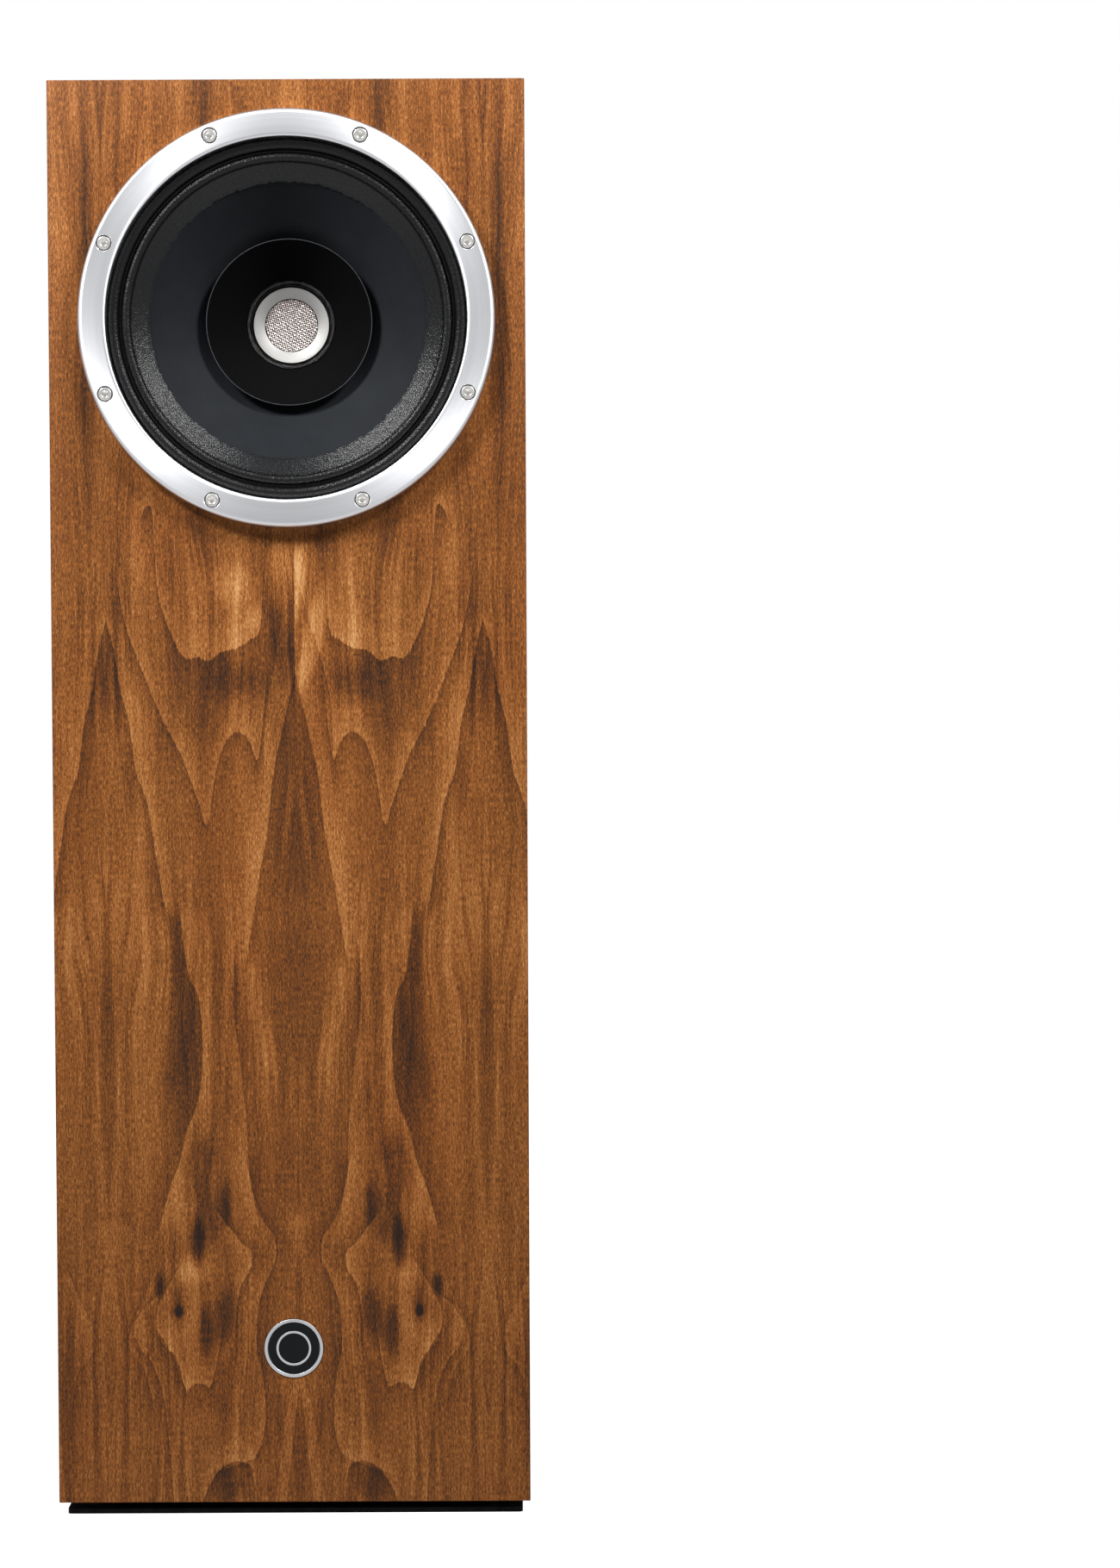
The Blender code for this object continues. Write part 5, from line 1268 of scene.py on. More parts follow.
# ---------------------------------------------------------------- cabinet
@dataclass
class Cabinet:
    """Five veneered boards, mitred at the corners and flush at the joints.

    Attributes:
        ease: how far the outer edges are rounded.
        joint: the width of the hairline left between two boards.
        cutout: radius of the hole behind the driver's flange.
        recess: depth of the flange's seat.
        play: room round the flange and the badge.
        badge_seat: depth of the badge's seat.
        pilot: radius of the screws' pilot holes.
        opening: width, height and corner of the hole behind the terminal plate.
    """

    ease: float = 0.0006
    joint: float = 0.00005
    cutout: float = 0.1170
    recess: float = 0.0060
    play: float = 0.0005
    badge_seat: float = 0.0024
    pilot: float = 0.0028
    opening: tuple[float, float, float] = (0.078, 0.050, 0.008)

    def board(self, outward: Vector, neighbours: Sequence[Vector]) -> bmesh.types.BMesh:
        """One board: the part of the eased cabinet block that lies between its inner face and its mitres.

        Args:
            outward: the way its face looks.
            neighbours: the ways that the boards mitred to it look.

        Returns:
            The board, in place.
        """
        shape = block(CABINET_LOW, CABINET_HIGH)
        bevel(shape, shape.edges, self.ease, 3)
        corner = self.corner(outward)
        self.keep(shape, corner - outward * WALL, outward)
        for neighbour in neighbours:
            mitre = (neighbour * -1.0 + outward).normalized()
            self.keep(shape, self.corner(outward, neighbour) + mitre * self.joint / 2, mitre)
        bmesh.ops.recalc_face_normals(shape, faces=shape.faces)
        return shape

    def corner(self, *directions: Vector) -> Vector:
        """The cabinet block's point furthest along some directions.

        Args:
            *directions: unit vectors along X, Y or Z.

        Returns:
            The point, in the part's frame.
        """
        middle = (CABINET_LOW + CABINET_HIGH) / 2
        half = (CABINET_HIGH - CABINET_LOW) / 2
        reach = sum(directions, Vector())
        return middle + Vector(part * size for part, size in zip(reach, half))

    def keep(self, shape: bmesh.types.BMesh, point: Vector, direction: Vector) -> None:
        """Keep what lies beyond a plane, along a direction, and close the cut.

        Args:
            shape: the shape.
            point: a point of the plane.
            direction: the plane's normal, towards what is kept.
        """
        geometry = [*shape.verts, *shape.edges, *shape.faces]
        result = bmesh.ops.bisect_plane(
            shape, geom=geometry, dist=1e-7, plane_co=point, plane_no=direction, clear_inner=True,
        )
        cut_edges = [item for item in result["geom_cut"] if isinstance(item, bmesh.types.BMEdge)]
        bmesh.ops.contextual_create(shape, geom=cut_edges)

    def baffle_cutters(self) -> list[bmesh.types.BMesh]:
        """The driver's stepped hole, the pilot holes and the badge's seat.

        Returns:
            Closed shapes to cut from the baffle.
        """
        flange = (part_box("driver_frame")[1].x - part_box("driver_frame")[0].x) / 2 + self.play
        badge = (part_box("badge_bezel")[1].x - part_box("badge_bezel")[0].x) / 2 + self.play / 2
        ahead = 0.004
        steps = [
            (0.0, ahead), (flange, ahead), (flange, -self.recess), (self.cutout, -self.recess),
            (self.cutout, -WALL - ahead), (0.0, -WALL - ahead),
        ]
        seat = [(0.0, ahead), (badge, ahead), (badge, -self.badge_seat), (0.0, -self.badge_seat)]
        cutters = [DRIVER_AXIS.place(turned(steps, 192)), BADGE_AXIS.place(turned(seat, 96))]
        for place in repeated(TrimRing.screws, TrimRing.screw_circle, TrimRing.first_screw):
            pilot = prism(self.pilot, 16, -WALL - ahead, -self.recess / 2)
            cutters.append(DRIVER_AXIS.place(moved(pilot, place)))
        return cutters

    def build(self) -> None:
        """Make the five outer boards, each with its walnut."""
        sides = (LEFT, RIGHT, TOP)
        front = carve(self.board(FRONT, sides), self.baffle_cutters())
        add_piece("front_board", front, FACE_WALNUT, "cabinet", ["front_baffle"])
        terminals = Axis(Vector((0.0, CABINET_HIGH.y, centre_of("terminal_plate").z)), Facing.REAR)
        width, height, corner = self.opening
        hole = terminals.place(rounded_plate(width, height, corner, -2 * WALL, WALL))
        rear = carve(self.board(REAR, sides), [hole])
        add_piece("rear_board", rear, REAR_WALNUT, "cabinet", ["rear_panel"])
        along = (FRONT, REAR, TOP)
        add_piece("left_board", self.board(LEFT, along), LEFT_WALNUT, "cabinet", ["left_side_panel"])
        add_piece("right_board", self.board(RIGHT, along), RIGHT_WALNUT, "cabinet", ["right_side_panel"])
        around = (FRONT, REAR, LEFT, RIGHT)
        add_piece("top_board", self.board(TOP, around), TOP_WALNUT, "cabinet", ["top_panel"])


# ---------------------------------------------------------------- trim ring
@dataclass
class TrimRing:
    """The turned ring over the driver's flange, and its eight socket screws."""

    screws = 8
    screw_circle = 0.1252
    first_screw = math.radians(22.5)
    bore: float = 0.1152
    chamfer: float = 0.0026
    chamfer_depth: float = 0.0015
    edge_round: float = 0.0033
    counterbore: float = 0.00505
    seat: float = 0.0043
    mouth_ease: float = 0.0003
    hole: float = 0.0028
    head: float = 0.00425
    head_height: float = 0.0048
    head_ease: float = 0.0005
    shank: float = 0.00245
    shank_length: float = 0.021
    socket_flats: float = 0.0040
    socket_depth: float = 0.0026
    drill_tip: float = 0.0011
    turns: tuple[float, ...] = (0.1, 0.75, 0.35, 0.9, 0.55, 0.2, 0.65, 0.45)

    def ring(self) -> bmesh.types.BMesh:
        """The ring about its axis, with a counterbored hole for each screw.

        Returns:
            The ring, about local Z.
        """
        low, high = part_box("trim_ring")
        radius, back, front = (high.x - low.x) / 2, height_in_front(high.y), height_in_front(low.y)
        rim = arc((radius - self.edge_round, front - self.edge_round), self.edge_round, 90.0, 0.0, 12)
        inner = []
        for step in range(11):
            turn = math.radians(90.0) * step / 10
            inward, down = self.chamfer * (1.0 - math.cos(turn)), self.chamfer_depth * (1.0 - math.sin(turn))
            inner.append((self.bore + inward, front - down))
        shape = turned([(self.bore, back), *inner, *rim, (radius, back), (self.bore, back)], 288)
        cutters = []
        for place in repeated(self.screws, self.screw_circle, self.first_screw):
            cutters.append(moved(turned([
                (0.0, self.seat), (self.counterbore, self.seat), (self.counterbore, front - self.mouth_ease),
                (self.counterbore + 2 * self.mouth_ease, front + self.mouth_ease),
                (self.counterbore + 2 * self.mouth_ease, front + self.seat), (0.0, front + self.seat),
            ], 48), place))
            cutters.append(moved(prism(self.hole, 32, back - self.seat, front), place))
        return carve(shape, cutters)

    def screw(self) -> bmesh.types.BMesh:
        """One socket screw, its head's underside at zero.

        Returns:
            The screw, about local Z.
        """
        top, radius, ease = self.head_height, self.head, self.head_ease
        blank = turned([
            (0.0, top), *arc((radius - ease, top - ease), ease, 90.0, 0.0, 5),
            (radius, 0.0), (self.shank, 0.0), (self.shank, -self.shank_length), (0.0, -self.shank_length),
        ], 48)
        key = self.socket_flats / math.sqrt(3.0)
        floor = top - self.socket_depth
        lead_in = turned([(0.0, top + ease), (key + 1.6 * ease, top + ease), (key * 0.9, top - 0.7 * ease),
                          (0.0, top - 0.7 * ease)], 32)
        flat = self.socket_flats / 2
        tip = floor - self.drill_tip
        drilled = turned([(0.0, tip), (flat, floor), (flat, floor + ease), (0.0, floor + ease)], 32)
        return carve(blank, [prism(key, 6, floor, top + ease), lead_in, drilled])

    def build(self) -> None:
        """Make the ring and its screws."""
        add_piece("turned_ring", DRIVER_AXIS.place(self.ring()), ALUMINIUM, "cabinet", ["trim_ring"], 28.0)
        seat = self.seat + 0.0003
        for number, place in enumerate(repeated(self.screws, self.screw_circle, self.first_screw), 1):
            own = Matrix.Translation((0.0, 0.0, seat)) @ Matrix.Rotation(self.turns[number - 1], 4, "Z")
            shape = DRIVER_AXIS.place(moved(self.screw(), place @ own))
            add_piece(f"socket_screw_{number}", shape, SCREW_STEEL, "cabinet", [f"ring_screw_{number}"], 28.0)


# ---------------------------------------------------------------- cone assembly
@dataclass
class ConeAssembly:
    """What travels with the cone: surround, coated band, cone, whizzer, glue and spider; the surround's and
    spider's sectors here ride on no body.

    Heights are in front of the baffle's face; the profiles are the faces that the listener sees.
    """

    lip: float = 0.1210
    cloth: float = 0.0006
    outer_roll: tuple[float, float] = (0.1111, 0.0036)
    inner_roll: tuple[float, float] = (0.10275, 0.00305)
    valley: tuple[float, float] = (0.10665, -0.0007)
    cone_rim: float = 0.0986
    cone_rim_height: float = -0.0022
    neck: float = 0.0267
    cone_drop: float = 0.0478
    bow: float = 0.10
    paper: float = 0.0008
    band: tuple[float, float] = (0.0992, 0.0883)
    ripple: float = 0.00017
    ripple_turns: tuple[int, ...] = (17, 41, 73, 103, 131)
    whizzer_rim: tuple[float, float] = (0.0534, -0.0240)
    whizzer_neck: tuple[float, float] = (0.02655, -0.0465)
    whizzer_bow: float = 0.16
    whizzer_wall: float = 0.0005
    glue: tuple[float, float] = (0.0277, -0.0448)
    bead: float = 0.00115
    swells: tuple[tuple[float, int, float], ...] = ((0.16, 7, 1.0), (0.12, 17, 0.0), (0.08, 31, 0.0))
    spider_waves: int = 3
    sectors: int = 24
    still: float = 0.1145
    free: float = 0.1000

    def cone_front(self, radius: float) -> float:
        """Height of the cone's front face at a radius."""
        share = (self.cone_rim - radius) / (self.cone_rim - self.neck)
        middle = self.cone_rim_height - self.cone_drop * (share + self.bow * share * (1.0 - share))
        return middle + 0.6 * self.paper

    def surround_profile(self) -> Profile:
        """Lip, outer roll, valley and inner roll, with small fillets between them.

        Returns:
            The profile, from outside to inside.
        """
        outer, inner = self.outer_roll, self.inner_roll
        first = arc((outer[0], -0.0003), outer[1], 8.0, 172.0, 20)
        second = arc((inner[0], -0.0006), inner[1], 8.0, 176.0, 18)
        foot = (self.band[0] - 0.0006, self.cone_front(self.band[0]) + 0.0003)
        return [
            (self.lip, 0.0), (outer[0] + outer[1] + 0.0007, 0.0), (outer[0] + outer[1] + 0.0002, 0.00008),
            *first, (self.valley[0] + 0.0004, self.valley[1] + 0.0001), self.valley,
            (self.valley[0] - 0.0004, self.valley[1] + 0.0001), *second, foot,
        ]

    def band_piece(self) -> bmesh.types.BMesh:
        """The coated band glued over the cone's rim, its inner edge a little uneven.

        Returns:
            The shape, about local Z.
        """
        outer, inner = self.band
        radii = [outer + (inner - outer) * step / 10 for step in range(11)]
        rise = 0.0009
        profile = [(radius, self.cone_front(radius) + rise) for radius in radii]
        shape = shell(profile, 384, self.cloth)
        slope = self.cone_drop / (self.cone_rim - self.neck)
        for vertex in shape.verts:
            radius = math.hypot(vertex.co.x, vertex.co.y)
            if radius < inner + 0.0006:
                angle = math.atan2(vertex.co.y, vertex.co.x)
                shift = self.ripple * sum(math.sin(angle * turns + turns) for turns in self.ripple_turns)
                scale = (radius + shift) / radius
                vertex.co.x *= scale
                vertex.co.y *= scale
                vertex.co.z += shift * slope - 0.0002
        return shape

    def cone_piece(self) -> bmesh.types.BMesh:
        """The main cone.

        Returns:
            The shape, about local Z.
        """
        radii = [self.cone_rim + (self.neck - self.cone_rim) * step / 40 for step in range(41)]
        profile = [(radius, self.cone_front(radius)) for radius in radii]
        tab = (self.neck, self.cone_front(self.neck) - 0.0025)
        return shell([*profile, tab], 256, self.paper)

    def whizzer_piece(self) -> bmesh.types.BMesh:
        """The small bell-shaped cone.

        Returns:
            The shape, about local Z.
        """
        (rim, rim_height), (neck, neck_height) = self.whizzer_rim, self.whizzer_neck
        profile = []
        for step in range(25):
            share = step / 24
            bowed = share + self.whizzer_bow * share * (1.0 - share)
            radius = rim + (neck - rim) * share
            profile.append((radius, rim_height + (neck_height - rim_height) * bowed + self.whizzer_wall / 2))
        return shell([*profile, (neck, neck_height - 0.0012)], 256, self.whizzer_wall)

    def whizzer_edge(self) -> bmesh.types.BMesh:
        """A thin bead round the small cone's rim, paler than its paper: a painted highlight of the rim."""
        radius, height = self.whizzer_rim
        centre, half = (radius, height), 0.00027
        return turned([*arc(centre, half, 0.0, 330.0, 11), (centre[0] + half, centre[1])], 256)

    def glue_bead(self) -> bmesh.types.BMesh:
        """The uneven glossy bead where the small cone is glued to the former.

        Returns:
            The shape, about local Z.
        """
        radius, height = self.glue
        shape = turned([*arc(self.glue, self.bead, 0.0, 345.0, 23), (radius + self.bead, height)], 288)
        for vertex in shape.verts:
            angle = math.atan2(vertex.co.y, vertex.co.x)
            swell = 1.0 + sum(size * math.sin(turns * angle + start) for size, turns, start in self.swells)
            ring = Vector((math.cos(angle) * radius, math.sin(angle) * radius, height))
            vertex.co = ring + (vertex.co - ring) * swell
        return shape

    def spider_profile(self) -> Profile:
        """Waves between the basket's shelf and the former, round ones at the middle of their node's depth.

        Returns:
            The profile, from outside to inside.
        """
        low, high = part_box("spider")
        radius = (high.x - low.x) / 2
        middle = height_in_front((low.y + high.y) / 2)
        first, last = 0.0310, 0.0720
        steps = 12 * self.spider_waves
        points = [(radius, middle + 0.0002)]
        for step in range(steps + 1):
            share = step / steps
            wave = 0.0014 * math.sin(TURN * self.spider_waves * share)
            points.append((last + (first - last) * share, middle + 0.0002 + wave))
        return [*points, (0.0266, middle + 0.0002)]

    def flexing(self, name: str, node: str, profile: Profile, finish: Finish, wall: float,
                steps: int) -> None:
        """A ring in sectors, each a still shell turned through its own share of the circle, riding on no
        body.

        Args:
            name: the start of the sectors' names.
            node: the node that they stand for.
            profile: the front face, from outside to inside.
            finish: the cloth's finish.
            wall: the cloth's thickness.
            steps: turning steps in each sector.
        """
        sweep = TURN / self.sectors
        for number in range(self.sectors):
            shape = DRIVER_AXIS.place(shell(profile, steps, wall, sweep, number * sweep))
            made = add_piece(f"{name}_{number + 1:02d}", shape, finish, "", [node])
            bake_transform(made)

    def build(self) -> None:
        """Make the moving pieces."""
        self.flexing("surround", "surround", self.surround_profile(), SURROUND_CLOTH, self.cloth,
                     12)
        self.flexing("spider", "spider", self.spider_profile(), SPIDER_CLOTH, 0.0004, 6)
        pieces = (
            ("surround_band", self.band_piece(), BAND_CLOTH, ["surround"]),
            ("paper_cone", self.cone_piece(), CONE_PAPER, ["cone"]),
            ("whizzer", self.whizzer_piece(), WHIZZER_PAPER, ["whizzer_cone"]),
            # The rim bead carries a painted highlight.
            ("whizzer_edge", self.whizzer_edge(), PAINTED_RIM_HIGHLIGHT, []),
            ("neck_glue", self.glue_bead(), GLUE, []),
        )
        for name, shape, finish, nodes in pieces:
            add_piece(name, DRIVER_AXIS.place(shape), finish, "cone_assembly", nodes)


# ---------------------------------------------------------------- tweeter
@dataclass
class Tweeter:
    """The small driver in the middle: a dished flange, a woven screen and a foil dome."""

    rim: tuple[float, float] = (0.0247, -0.0475)
    throat: tuple[float, float] = (0.0173, -0.0488)
    back: float = -0.0517
    body: float = 0.0235
    edge: float = 0.0016
    screen_radius: float = 0.0169
    screen_height: float = -0.0507
    pitch: float = 0.00134
    wire: float = 0.00026
    wire_sides: int = 6
    lean: float = math.radians(14.0)
    dome_radius: float = 0.0125
    dome_height: float = 0.0036
    dome_foot: float = -0.0592
    dome_lip: float = 0.0062
    foil: float = 0.0003

    def flange(self) -> bmesh.types.BMesh:
        """The dished flange, its edges eased.

        Returns:
            The shape, about local Z.
        """
        (rim, rim_height), (throat, throat_height) = self.rim, self.throat
        ease = 0.0003
        return turned([
            (throat, self.back), (throat, throat_height - ease), (throat + ease, throat_height),
            (rim - 2.0 * ease, rim_height - 0.0001), (rim - ease, rim_height), (rim, rim_height - ease),
            (rim, rim_height - self.edge),
            (self.body, self.back), (throat, self.back),
        ], 192)

    def screen(self) -> bmesh.types.BMesh:
        """The wires of the screen, woven over and under each other.

        Returns:
            The wires, in a plane across local Z.
        """
        shape = bmesh.new()
        count = int(self.screen_radius / self.pitch)
        for warp in (0, 1):
            for index in range(-count, count + 1):
                off = index * self.pitch
                reach = math.sqrt(max(self.screen_radius ** 2 - off ** 2, 0.0))
                if reach > self.pitch:
                    self.weave(shape, off, reach, index, warp)
        bmesh.ops.rotate(shape, verts=shape.verts, matrix=Matrix.Rotation(self.lean, 3, "Z"))
        return shape

    def weave(self, shape: bmesh.types.BMesh, off: float, reach: float, index: int, warp: int) -> None:
        """Add one wire: a ring with flat sides, extruded from step to step along the wire's wave.

        Args:
            shape: where it goes.
            off: its distance from the screen's middle.
            reach: half its length.
            index: its number, counted from the middle.
            warp: 0 for the wires along local X, 1 for the ones across them.
        """
        steps = max(4, int(2.0 * reach / self.pitch) * 2)
        places = []
        for step in range(steps + 1):
            along = -reach + 2.0 * reach * step / steps
            phase = math.pi * (along / self.pitch + index + warp)
            flat = (off, along) if warp else (along, off)
            places.append(Vector((*flat, self.screen_height + self.wire * math.cos(phase))))
        quarter = math.pi / 2
        upright = Matrix.Rotation(quarter, 4, "X") @ Matrix.Rotation(-quarter, 4, "Z")
        start = Matrix.Translation(places[0]) @ Matrix.Rotation(0.0 if warp else quarter, 4, "Z") @ upright
        ring = bmesh.ops.create_circle(
            shape, cap_ends=True, radius=self.wire, segments=self.wire_sides, matrix=start,
        )
        edges = list(ring["verts"][0].link_faces[0].edges)
        for here, after in zip(places, places[1:]):
            made = bmesh.ops.extrude_edge_only(shape, edges=edges)["geom"]
            corners = [item for item in made if isinstance(item, bmesh.types.BMVert)]
            edges = [item for item in made if isinstance(item, bmesh.types.BMEdge) and item.is_boundary]
            bmesh.ops.translate(shape, verts=corners, vec=after - here)
        bmesh.ops.contextual_create(shape, geom=edges)

    def dome(self) -> bmesh.types.BMesh:
        """The dome and its flat lip.

        Returns:
            The shape, about local Z.
        """
        ball = (self.dome_radius ** 2 + self.dome_height ** 2) / (2.0 * self.dome_height)
        half = math.asin(self.dome_radius / ball)
        centre = self.dome_foot - ball * math.cos(half)
        angles = [half * step / 16 for step in range(17)]
        cap = [(ball * math.sin(angle), centre + ball * math.cos(angle)) for angle in angles]
        return shell([*cap, (self.dome_radius + self.dome_lip, self.dome_foot)], 96, self.foil)

    def build(self) -> None:
        """Make the pieces of the small driver."""
        flange = DRIVER_AXIS.place(self.flange())
        add_piece("dished_flange", flange, DISH_ALUMINIUM, "cabinet", ["tweeter_flange"])
        screen = DRIVER_AXIS.place(self.screen())
        bmesh.ops.recalc_face_normals(screen, faces=screen.faces)
        add_piece("woven_screen", screen, SCREEN_WIRE, "cabinet", ["tweeter_mesh"], 80.0)
        dome = DRIVER_AXIS.place(self.dome())
        add_piece("foil_dome", dome, DOME_FOIL, "tweeter_diaphragm", ["tweeter_dome"])


# ---------------------------------------------------------------- badge
@dataclass
class Badge:
    """A round badge let into the baffle: a turned cup, an enamelled disc and one raised ring."""

    rim: float = 0.0021
    proud: float = 0.0006
    floor: float = -0.0021
    base: float = 0.0008
    gap: float = 0.0003
    ring: float = 0.0105
    ring_width: float = 0.0014
    ring_height: float = 0.0002

    def build(self) -> None:
        """Make the cup and the disc."""
        radius = (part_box("badge_bezel")[1].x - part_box("badge_bezel")[0].x) / 2
        inner = radius - self.rim
        cup = turned([
            (0.0, self.floor + self.base), (inner, self.floor + self.base), (inner, self.proud - 0.0002),
            (inner + 0.0002, self.proud), (radius - 0.0004, self.proud),
            *arc((radius - 0.0004, self.proud - 0.0004), 0.0004, 90.0, 0.0, 5), (radius, self.floor),
            (0.0, self.floor),
        ], 192)
        add_piece("badge_cup", BADGE_AXIS.place(cup), BADGE_ALUMINIUM, "cabinet", ["badge_bezel"])
        front = self.proud - self.gap
        inside, outside = self.ring - self.ring_width / 2, self.ring + self.ring_width / 2
        top = front + self.ring_height
        edge = inner - self.gap
        disc = turned([
            (0.0, front), (edge - 0.0002, front), (edge, front - 0.0002),
            (edge, self.floor + self.base + self.gap), (0.0, self.floor + self.base + self.gap),
        ], 192)
        inlay = turned([
            (inside, front - self.ring_height), (inside, top - 0.00005), (inside + 0.00005, top),
            (outside - 0.00005, top), (outside, top - 0.00005), (outside, front - self.ring_height),
            (inside, front - self.ring_height),
        ], 192)
        add_piece("badge_enamel", BADGE_AXIS.place(disc), ENAMEL, "cabinet", ["badge_disc"])
        add_piece("badge_inlay", BADGE_AXIS.place(inlay), BADGE_ALUMINIUM, "cabinet")


# ---------------------------------------------------------------- plinth
@dataclass
class Plinth:
    """The thin plate under the cabinet's slot, with the standoffs that carry the cabinet."""

    radius: float = 0.0030
    rim: float = 0.0036
    rim_height: float = 0.0009
    bore: float = 0.0018

    def build(self) -> None:
        """Make the standoffs; the plate and the bolts keep their nodes."""
        for number in range(1, 5):
            low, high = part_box(f"plinth_standoff_{number}")
            axis = Axis(centre_of(f"plinth_standoff_{number}"), Facing.UP)
            half = (high.z - low.z) / 2
            sleeve = turned([
                (self.bore, half), (self.rim - 0.0002, half), (self.rim, half - 0.0002),
                (self.rim, half - self.rim_height), (self.radius, half - self.rim_height),
                (self.radius, -half), (self.bore, -half), (self.bore, half),
            ], 48)
            add_piece(f"standoff_{number}", axis.place(sleeve), SLEEVE_ALUMINIUM, "cabinet",
                      [f"plinth_standoff_{number}"])


# ---------------------------------------------------------------- terminals
@dataclass
class Terminals:
    """The rear plate with its screws, and two binding posts whose knobs turn and carry their washers."""

    thickness: float = 0.0030
    corner: float = 0.0060
    post: float = 0.0030
    play: float = 0.0004
    tail: float = 0.0180
    collar: tuple[float, float, float] = (0.0078, 0.0003, 0.0037)
    stud: float = 0.0262
    socket: tuple[float, float] = (0.00205, 0.0160)
    washer: tuple[float, float, float] = (0.0064, 0.0040, 0.0052)
    knob: tuple[float, float, float] = (0.0082, 0.0055, 0.0205)
    bore: float = 0.0033
    chamfer: float = 0.0010
    flutes: int = 8
    flute: float = 0.0016
    flute_depth: float = 0.0006
    shoulder: float = 0.0030
    screw_inset: float = 0.0065
    screw_head: float = 0.0036

    def axis(self, node: str) -> Axis:
        """The axis through a node, its zero at the plate's outer face."""
        centre = centre_of(node)
        return Axis(Vector((centre.x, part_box("terminal_plate")[1].y, centre.z)), Facing.REAR)

    def plate(self) -> bmesh.types.BMesh:
        """The plate, its front edge eased, with a hole for each post.

        Returns:
            The plate, its outer face at zero.
        """
        low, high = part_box("terminal_plate")
        shape = rounded_plate(high.x - low.x, high.z - low.z, self.corner, -self.thickness, 0.0)
        bevel(shape, rim_edges(shape, 0.0), 0.0004, 3)
        holes = []
        for side in ("positive", "negative"):
            off = centre_of(f"binding_post_{side}").x
            cutter = prism(self.post + self.play, 48, -2 * self.thickness, self.thickness)
            holes.append(moved(cutter, Matrix.Translation((-off, 0.0, 0.0))))
        return carve(shape, holes)

    def screws(self) -> None:
        """Four countersunk cross-head screws near the plate's corners."""
        low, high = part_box("terminal_plate")
        axis = self.axis("terminal_plate")
        wide, tall = (high.x - low.x) / 2 - self.screw_inset, (high.z - low.z) / 2 - self.screw_inset
        corners = ((wide, tall), (wide, -tall), (-wide, -tall), (-wide, tall))
        for number, (x, y) in enumerate(corners, 1):
            head = turned([
                (0.0, 0.0011), (0.0018, 0.0010), (0.0030, 0.0006), (self.screw_head, 0.0001),
                (self.screw_head, -0.0004), (0.0, -0.0004),
            ], 40)
            slots = [block(Vector((-0.0019, -0.00032, 0.0004)), Vector((0.0019, 0.00032, 0.003))),
                     block(Vector((-0.00032, -0.0019, 0.0004)), Vector((0.00032, 0.0019, 0.003)))]
            turn = Matrix.Translation((x, y, 0.0)) @ Matrix.Rotation(0.4 + 0.9 * number, 4, "Z")
            shape = moved(carve(head, slots), turn)
            add_piece(f"plate_screw_{number}", axis.place(shape), PLATED_STEEL, "cabinet")

    def post_piece(self) -> bmesh.types.BMesh:
        """The post: stud with a plug socket, collar and tail.

        Returns:
            The shape, about local Z.
        """
        collar, low, high = self.collar
        bore, depth = self.socket
        return turned([
            (0.0, self.stud - depth), (bore, self.stud - depth), (bore, self.stud - 0.0003),
            (bore + 0.0003, self.stud), (self.post - 0.0003, self.stud), (self.post, self.stud - 0.0003),
            (self.post, high), (collar - 0.0003, high), (collar, high - 0.0003), (collar, low + 0.0003),
            (collar - 0.0003, low), (self.post, low), (self.post, -self.tail), (0.0, -self.tail),
        ], 96)

    def knob_piece(self) -> bmesh.types.BMesh:
        """The fluted knob.

        Returns:
            The shape, about local Z.
        """
        radius, low, high = self.knob
        blank = turned([
            (self.bore, high), (radius - self.chamfer, high),
            *arc((radius - self.chamfer, high - self.chamfer), self.chamfer, 90.0, 0.0, 6),
            *arc((radius - self.chamfer, low + self.chamfer), self.chamfer, 0.0, -90.0, 6),
            (self.bore, low), (self.bore, high),
        ], 96)
        cutters = []
        for place in repeated(self.flutes, radius + self.flute - self.flute_depth):
            cutters.append(moved(prism(self.flute, 24, low + self.shoulder, high + self.chamfer), place))
        return carve(blank, cutters)

    def build(self) -> None:
        """Make the plate, its screws and both posts."""
        axis = self.axis("terminal_plate")
        add_piece("rear_plate", axis.place(self.plate()), POWDER_COAT, "cabinet", ["terminal_plate"])
        self.screws()
        radius, low, high = self.washer
        for side, plastic in (("positive", RED_PLASTIC), ("negative", BLACK_PLASTIC)):
            here = self.axis(f"binding_post_{side}")
            washer = turned([
                (self.bore, high), (radius - 0.0002, high), (radius, high - 0.0002), (radius, low + 0.0002),
                (radius - 0.0002, low), (self.bore, low), (self.bore, high),
            ], 96)
            stud, knob = here.place(self.post_piece()), here.place(self.knob_piece())
            add_piece(f"stud_{side}", stud, BRASS, "cabinet", [f"binding_post_{side}"])
            add_piece(f"washer_{side}", here.place(washer), BRASS, f"{side}_clamp", [f"post_washer_{side}"])
            add_piece(f"knob_{side}", knob, plastic, f"{side}_knob", [f"post_knob_{side}"])


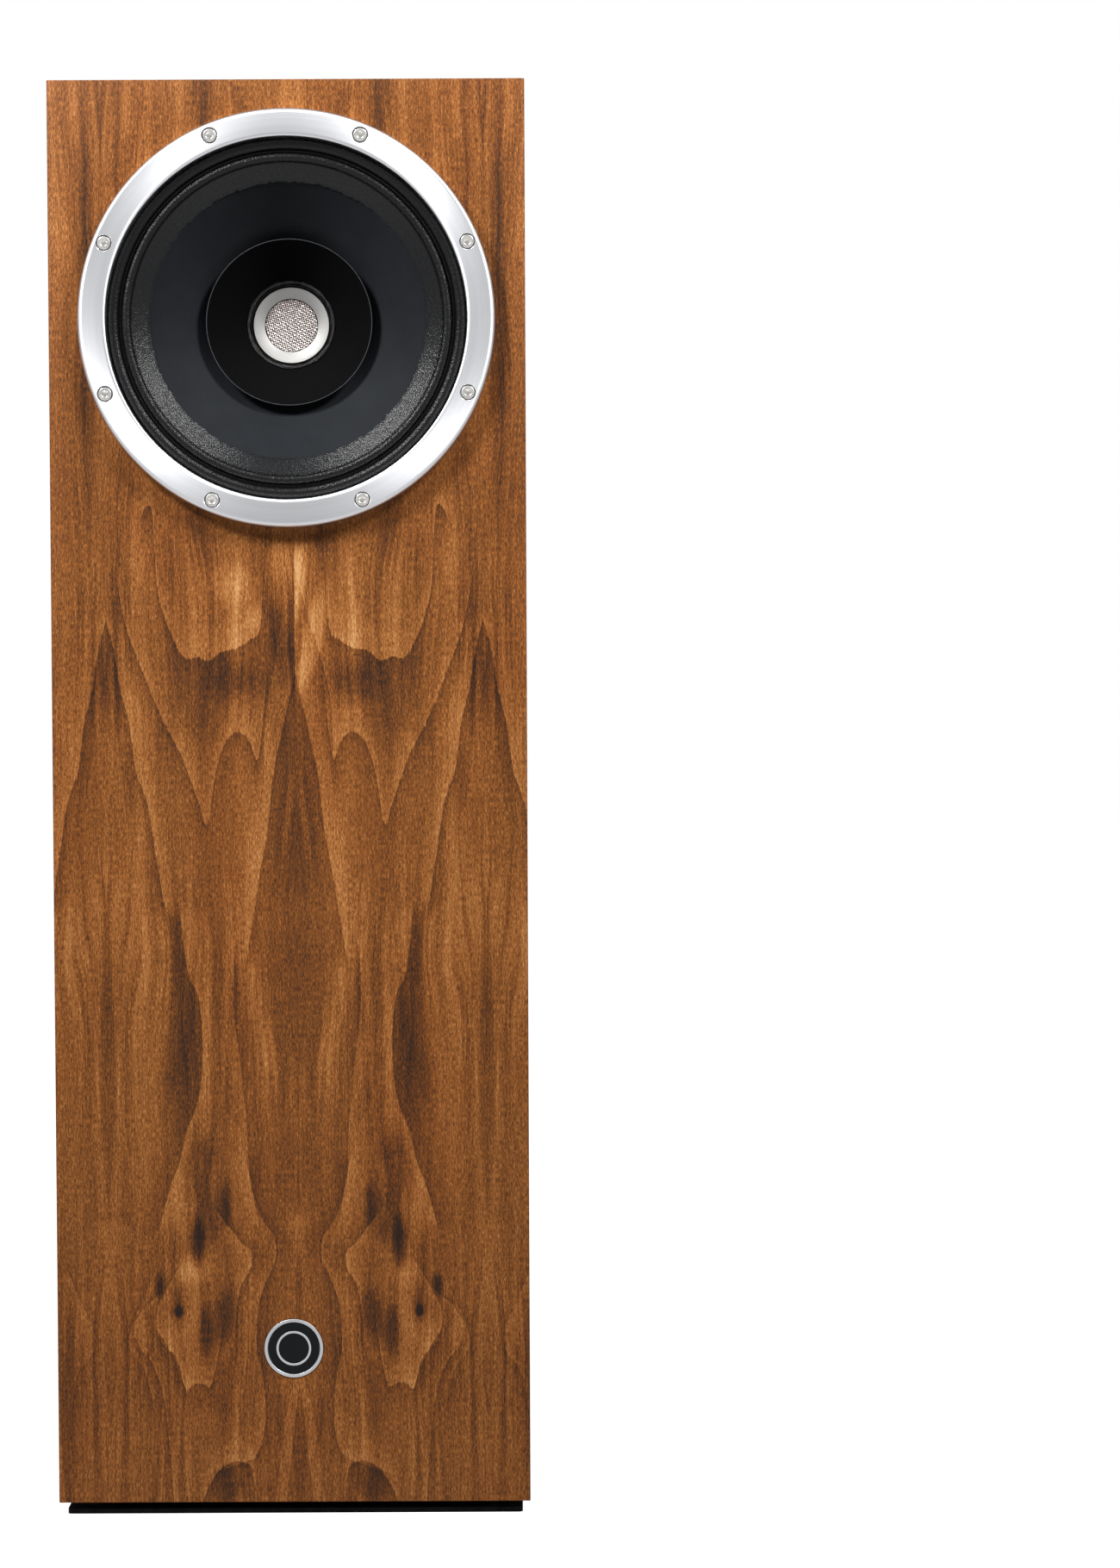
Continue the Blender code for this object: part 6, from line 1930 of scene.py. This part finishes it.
# ---------------------------------------------------------------- studio
@dataclass
class Studio:
    """Pale floor, white surroundings, two soft lamps above the front and the photograph's camera.

    Attributes:
        camera: where the camera stands.
        pitch: how far it looks down, in degrees.
        roll: how far it is rolled, in degrees.
        lens: its focal length, in millimetres.
        shift: how far the picture is shifted sideways, as a share of its width.
        paper: the floor's colour.
        speck: the colour of its faint specks.
        floor_half: half the floor's width.
        floor_depth: its thickness.
        floor_mirrored: how bright mirrors see it, against the camera.
        fade: the distances, in millimetres, between which the floor turns to white.
        whites: how white it is at those distances.
        ambient: how strongly the surroundings light the object.
        mirrored: how bright mirrors see the surroundings.
        lamps: name, place and power in watts of each lamp.
        lamp_side: the width and height of a lamp.
        target_height: the height on the front that the lamps are aimed at.
    """

    camera: tuple[float, float, float] = (0.1501, -2.5524, 0.5611)
    pitch: float = 2.124
    roll: float = -0.261
    lens: float = 85.88
    shift: float = 0.0231
    paper: tuple[float, float, float] = (166, 166, 167)
    speck: tuple[float, float, float] = (160, 160, 161)
    floor_half: float = 9.0
    floor_depth: float = 0.02
    floor_mirrored: float = 0.45
    fade: tuple[float, float] = (350.0, 2600.0)
    whites: tuple[float, float] = (0.86, 0.985)
    ambient: float = 0.035
    mirrored: float = 0.52
    lamps: tuple[tuple[str, tuple[float, float, float], float], ...] = (
        ("left_lamp", (-1.3, -1.25, 2.2), 72.0),
        ("right_lamp", (1.4, -1.2, 2.25), 59.5),
    )
    lamp_side: float = 0.5
    target_height: float = 0.62

    def floor(self) -> None:
        """A wide pale floor that keeps the shadow."""
        half = self.floor_half
        sheet = block(Vector((-half, -half, -self.floor_depth)), Vector((half, half, 0.0)))
        ground = to_object("floor", sheet)
        graph = Graph("floor_paper")
        paths = graph.add("LightPath", {})
        specks = graph.noise(graph.place, 0.02, 2.0)
        tone = graph.mix(specks, daylight(*self.speck), daylight(*self.paper))
        camera, glossy = paths.outputs["Is Camera Ray"], paths.outputs["Is Glossy Ray"]
        seen = graph.calc("MULTIPLY_ADD", glossy, self.floor_mirrored, camera)
        reach = graph.vector("LENGTH", graph.place).outputs["Value"]
        white = graph.smooth(reach, *self.fade, *self.whites)
        graph.surface(Base_Color=tone, Roughness=0.9, Specular_IOR_Level=0.1)
        graph.surface(Emission_Color=(1.0, 1.0, 1.0, 1.0))
        graph.surface(Emission_Strength=graph.calc("MULTIPLY", seen, white))
        ground.data.materials.append(graph.material)

    def world(self) -> None:
        """White where the camera and mirrors look, softer where it lights."""
        made = bpy.data.worlds.new("studio")
        made.use_nodes = True
        tree = made.node_tree
        paths = tree.nodes.new("ShaderNodeLightPath")
        level: Socket | None = None
        strengths = (("Is Glossy Ray", self.mirrored), ("Is Camera Ray", 1.0), ("Is Transmission Ray", 1.0))
        for name, strength in strengths:
            step = tree.nodes.new("ShaderNodeMapRange")
            step.inputs["To Min"].default_value = self.ambient
            step.inputs["To Max"].default_value = strength
            tree.links.new(paths.outputs[name], step.inputs["Value"])
            if level is not None:
                tree.links.new(level, step.inputs["To Min"])
            level = step.outputs[0]
        background = tree.nodes["Background"]
        background.inputs["Color"].default_value = (1.0, 1.0, 1.0, 1.0)
        tree.links.new(level, background.inputs["Strength"])
        bpy.context.scene.world = made

    def lamp(self, name: str, place: Vector, target: Vector, power: float) -> None:
        """One soft lamp.

        Args:
            name: its name.
            place: where it hangs.
            target: what it's aimed at.
            power: its power in watts.
        """
        light = bpy.data.lights.new(name, "AREA")
        light.shape = "RECTANGLE"
        light.size, light.size_y = self.lamp_side, self.lamp_side
        light.energy = power
        made = bpy.data.objects.new(name, light)
        made.location = place
        made.rotation_euler = (target - place).to_track_quat("-Z", "Y").to_euler()
        bpy.context.scene.collection.objects.link(made)

    def view(self) -> None:
        """The camera, fitted to the photograph's corners."""
        data = bpy.data.cameras.new("camera")
        data.lens = self.lens
        data.shift_x = self.shift
        data.clip_start = 0.05
        made = bpy.data.objects.new("camera", data)
        tilt = Matrix.Rotation(math.radians(90.0 - self.pitch), 4, "X")
        rolled = Matrix.Rotation(math.radians(self.roll), 4, "Z")
        made.matrix_world = Matrix.Translation(self.camera) @ (tilt @ rolled)
        bpy.context.scene.collection.objects.link(made)
        bpy.context.scene.camera = made

    def build(self) -> None:
        """Set up the studio."""
        self.floor()
        self.world()
        target = Vector((0.0, CABINET_LOW.y, self.target_height))
        for name, place, power in self.lamps:
            self.lamp(name, Vector(place), target, power)
        self.view()
        bpy.context.scene.view_settings.view_transform = "Standard"


def main() -> None:
    """Build every sub-assembly, dress the nodes that stay, and set up the studio."""
    logging.basicConfig(level=logging.INFO, format="%(message)s")
    for assembly in (Cabinet(), Plinth(), TrimRing(), ConeAssembly(), Tweeter(), Badge(), Terminals()):
        LOG.info("building the %s", type(assembly).__name__)
        assembly.build()
    for node, finish in INSIDE_FINISHES.items():
        dress(node, finish)
    Studio().build()


if __name__ == "__main__":
    main()
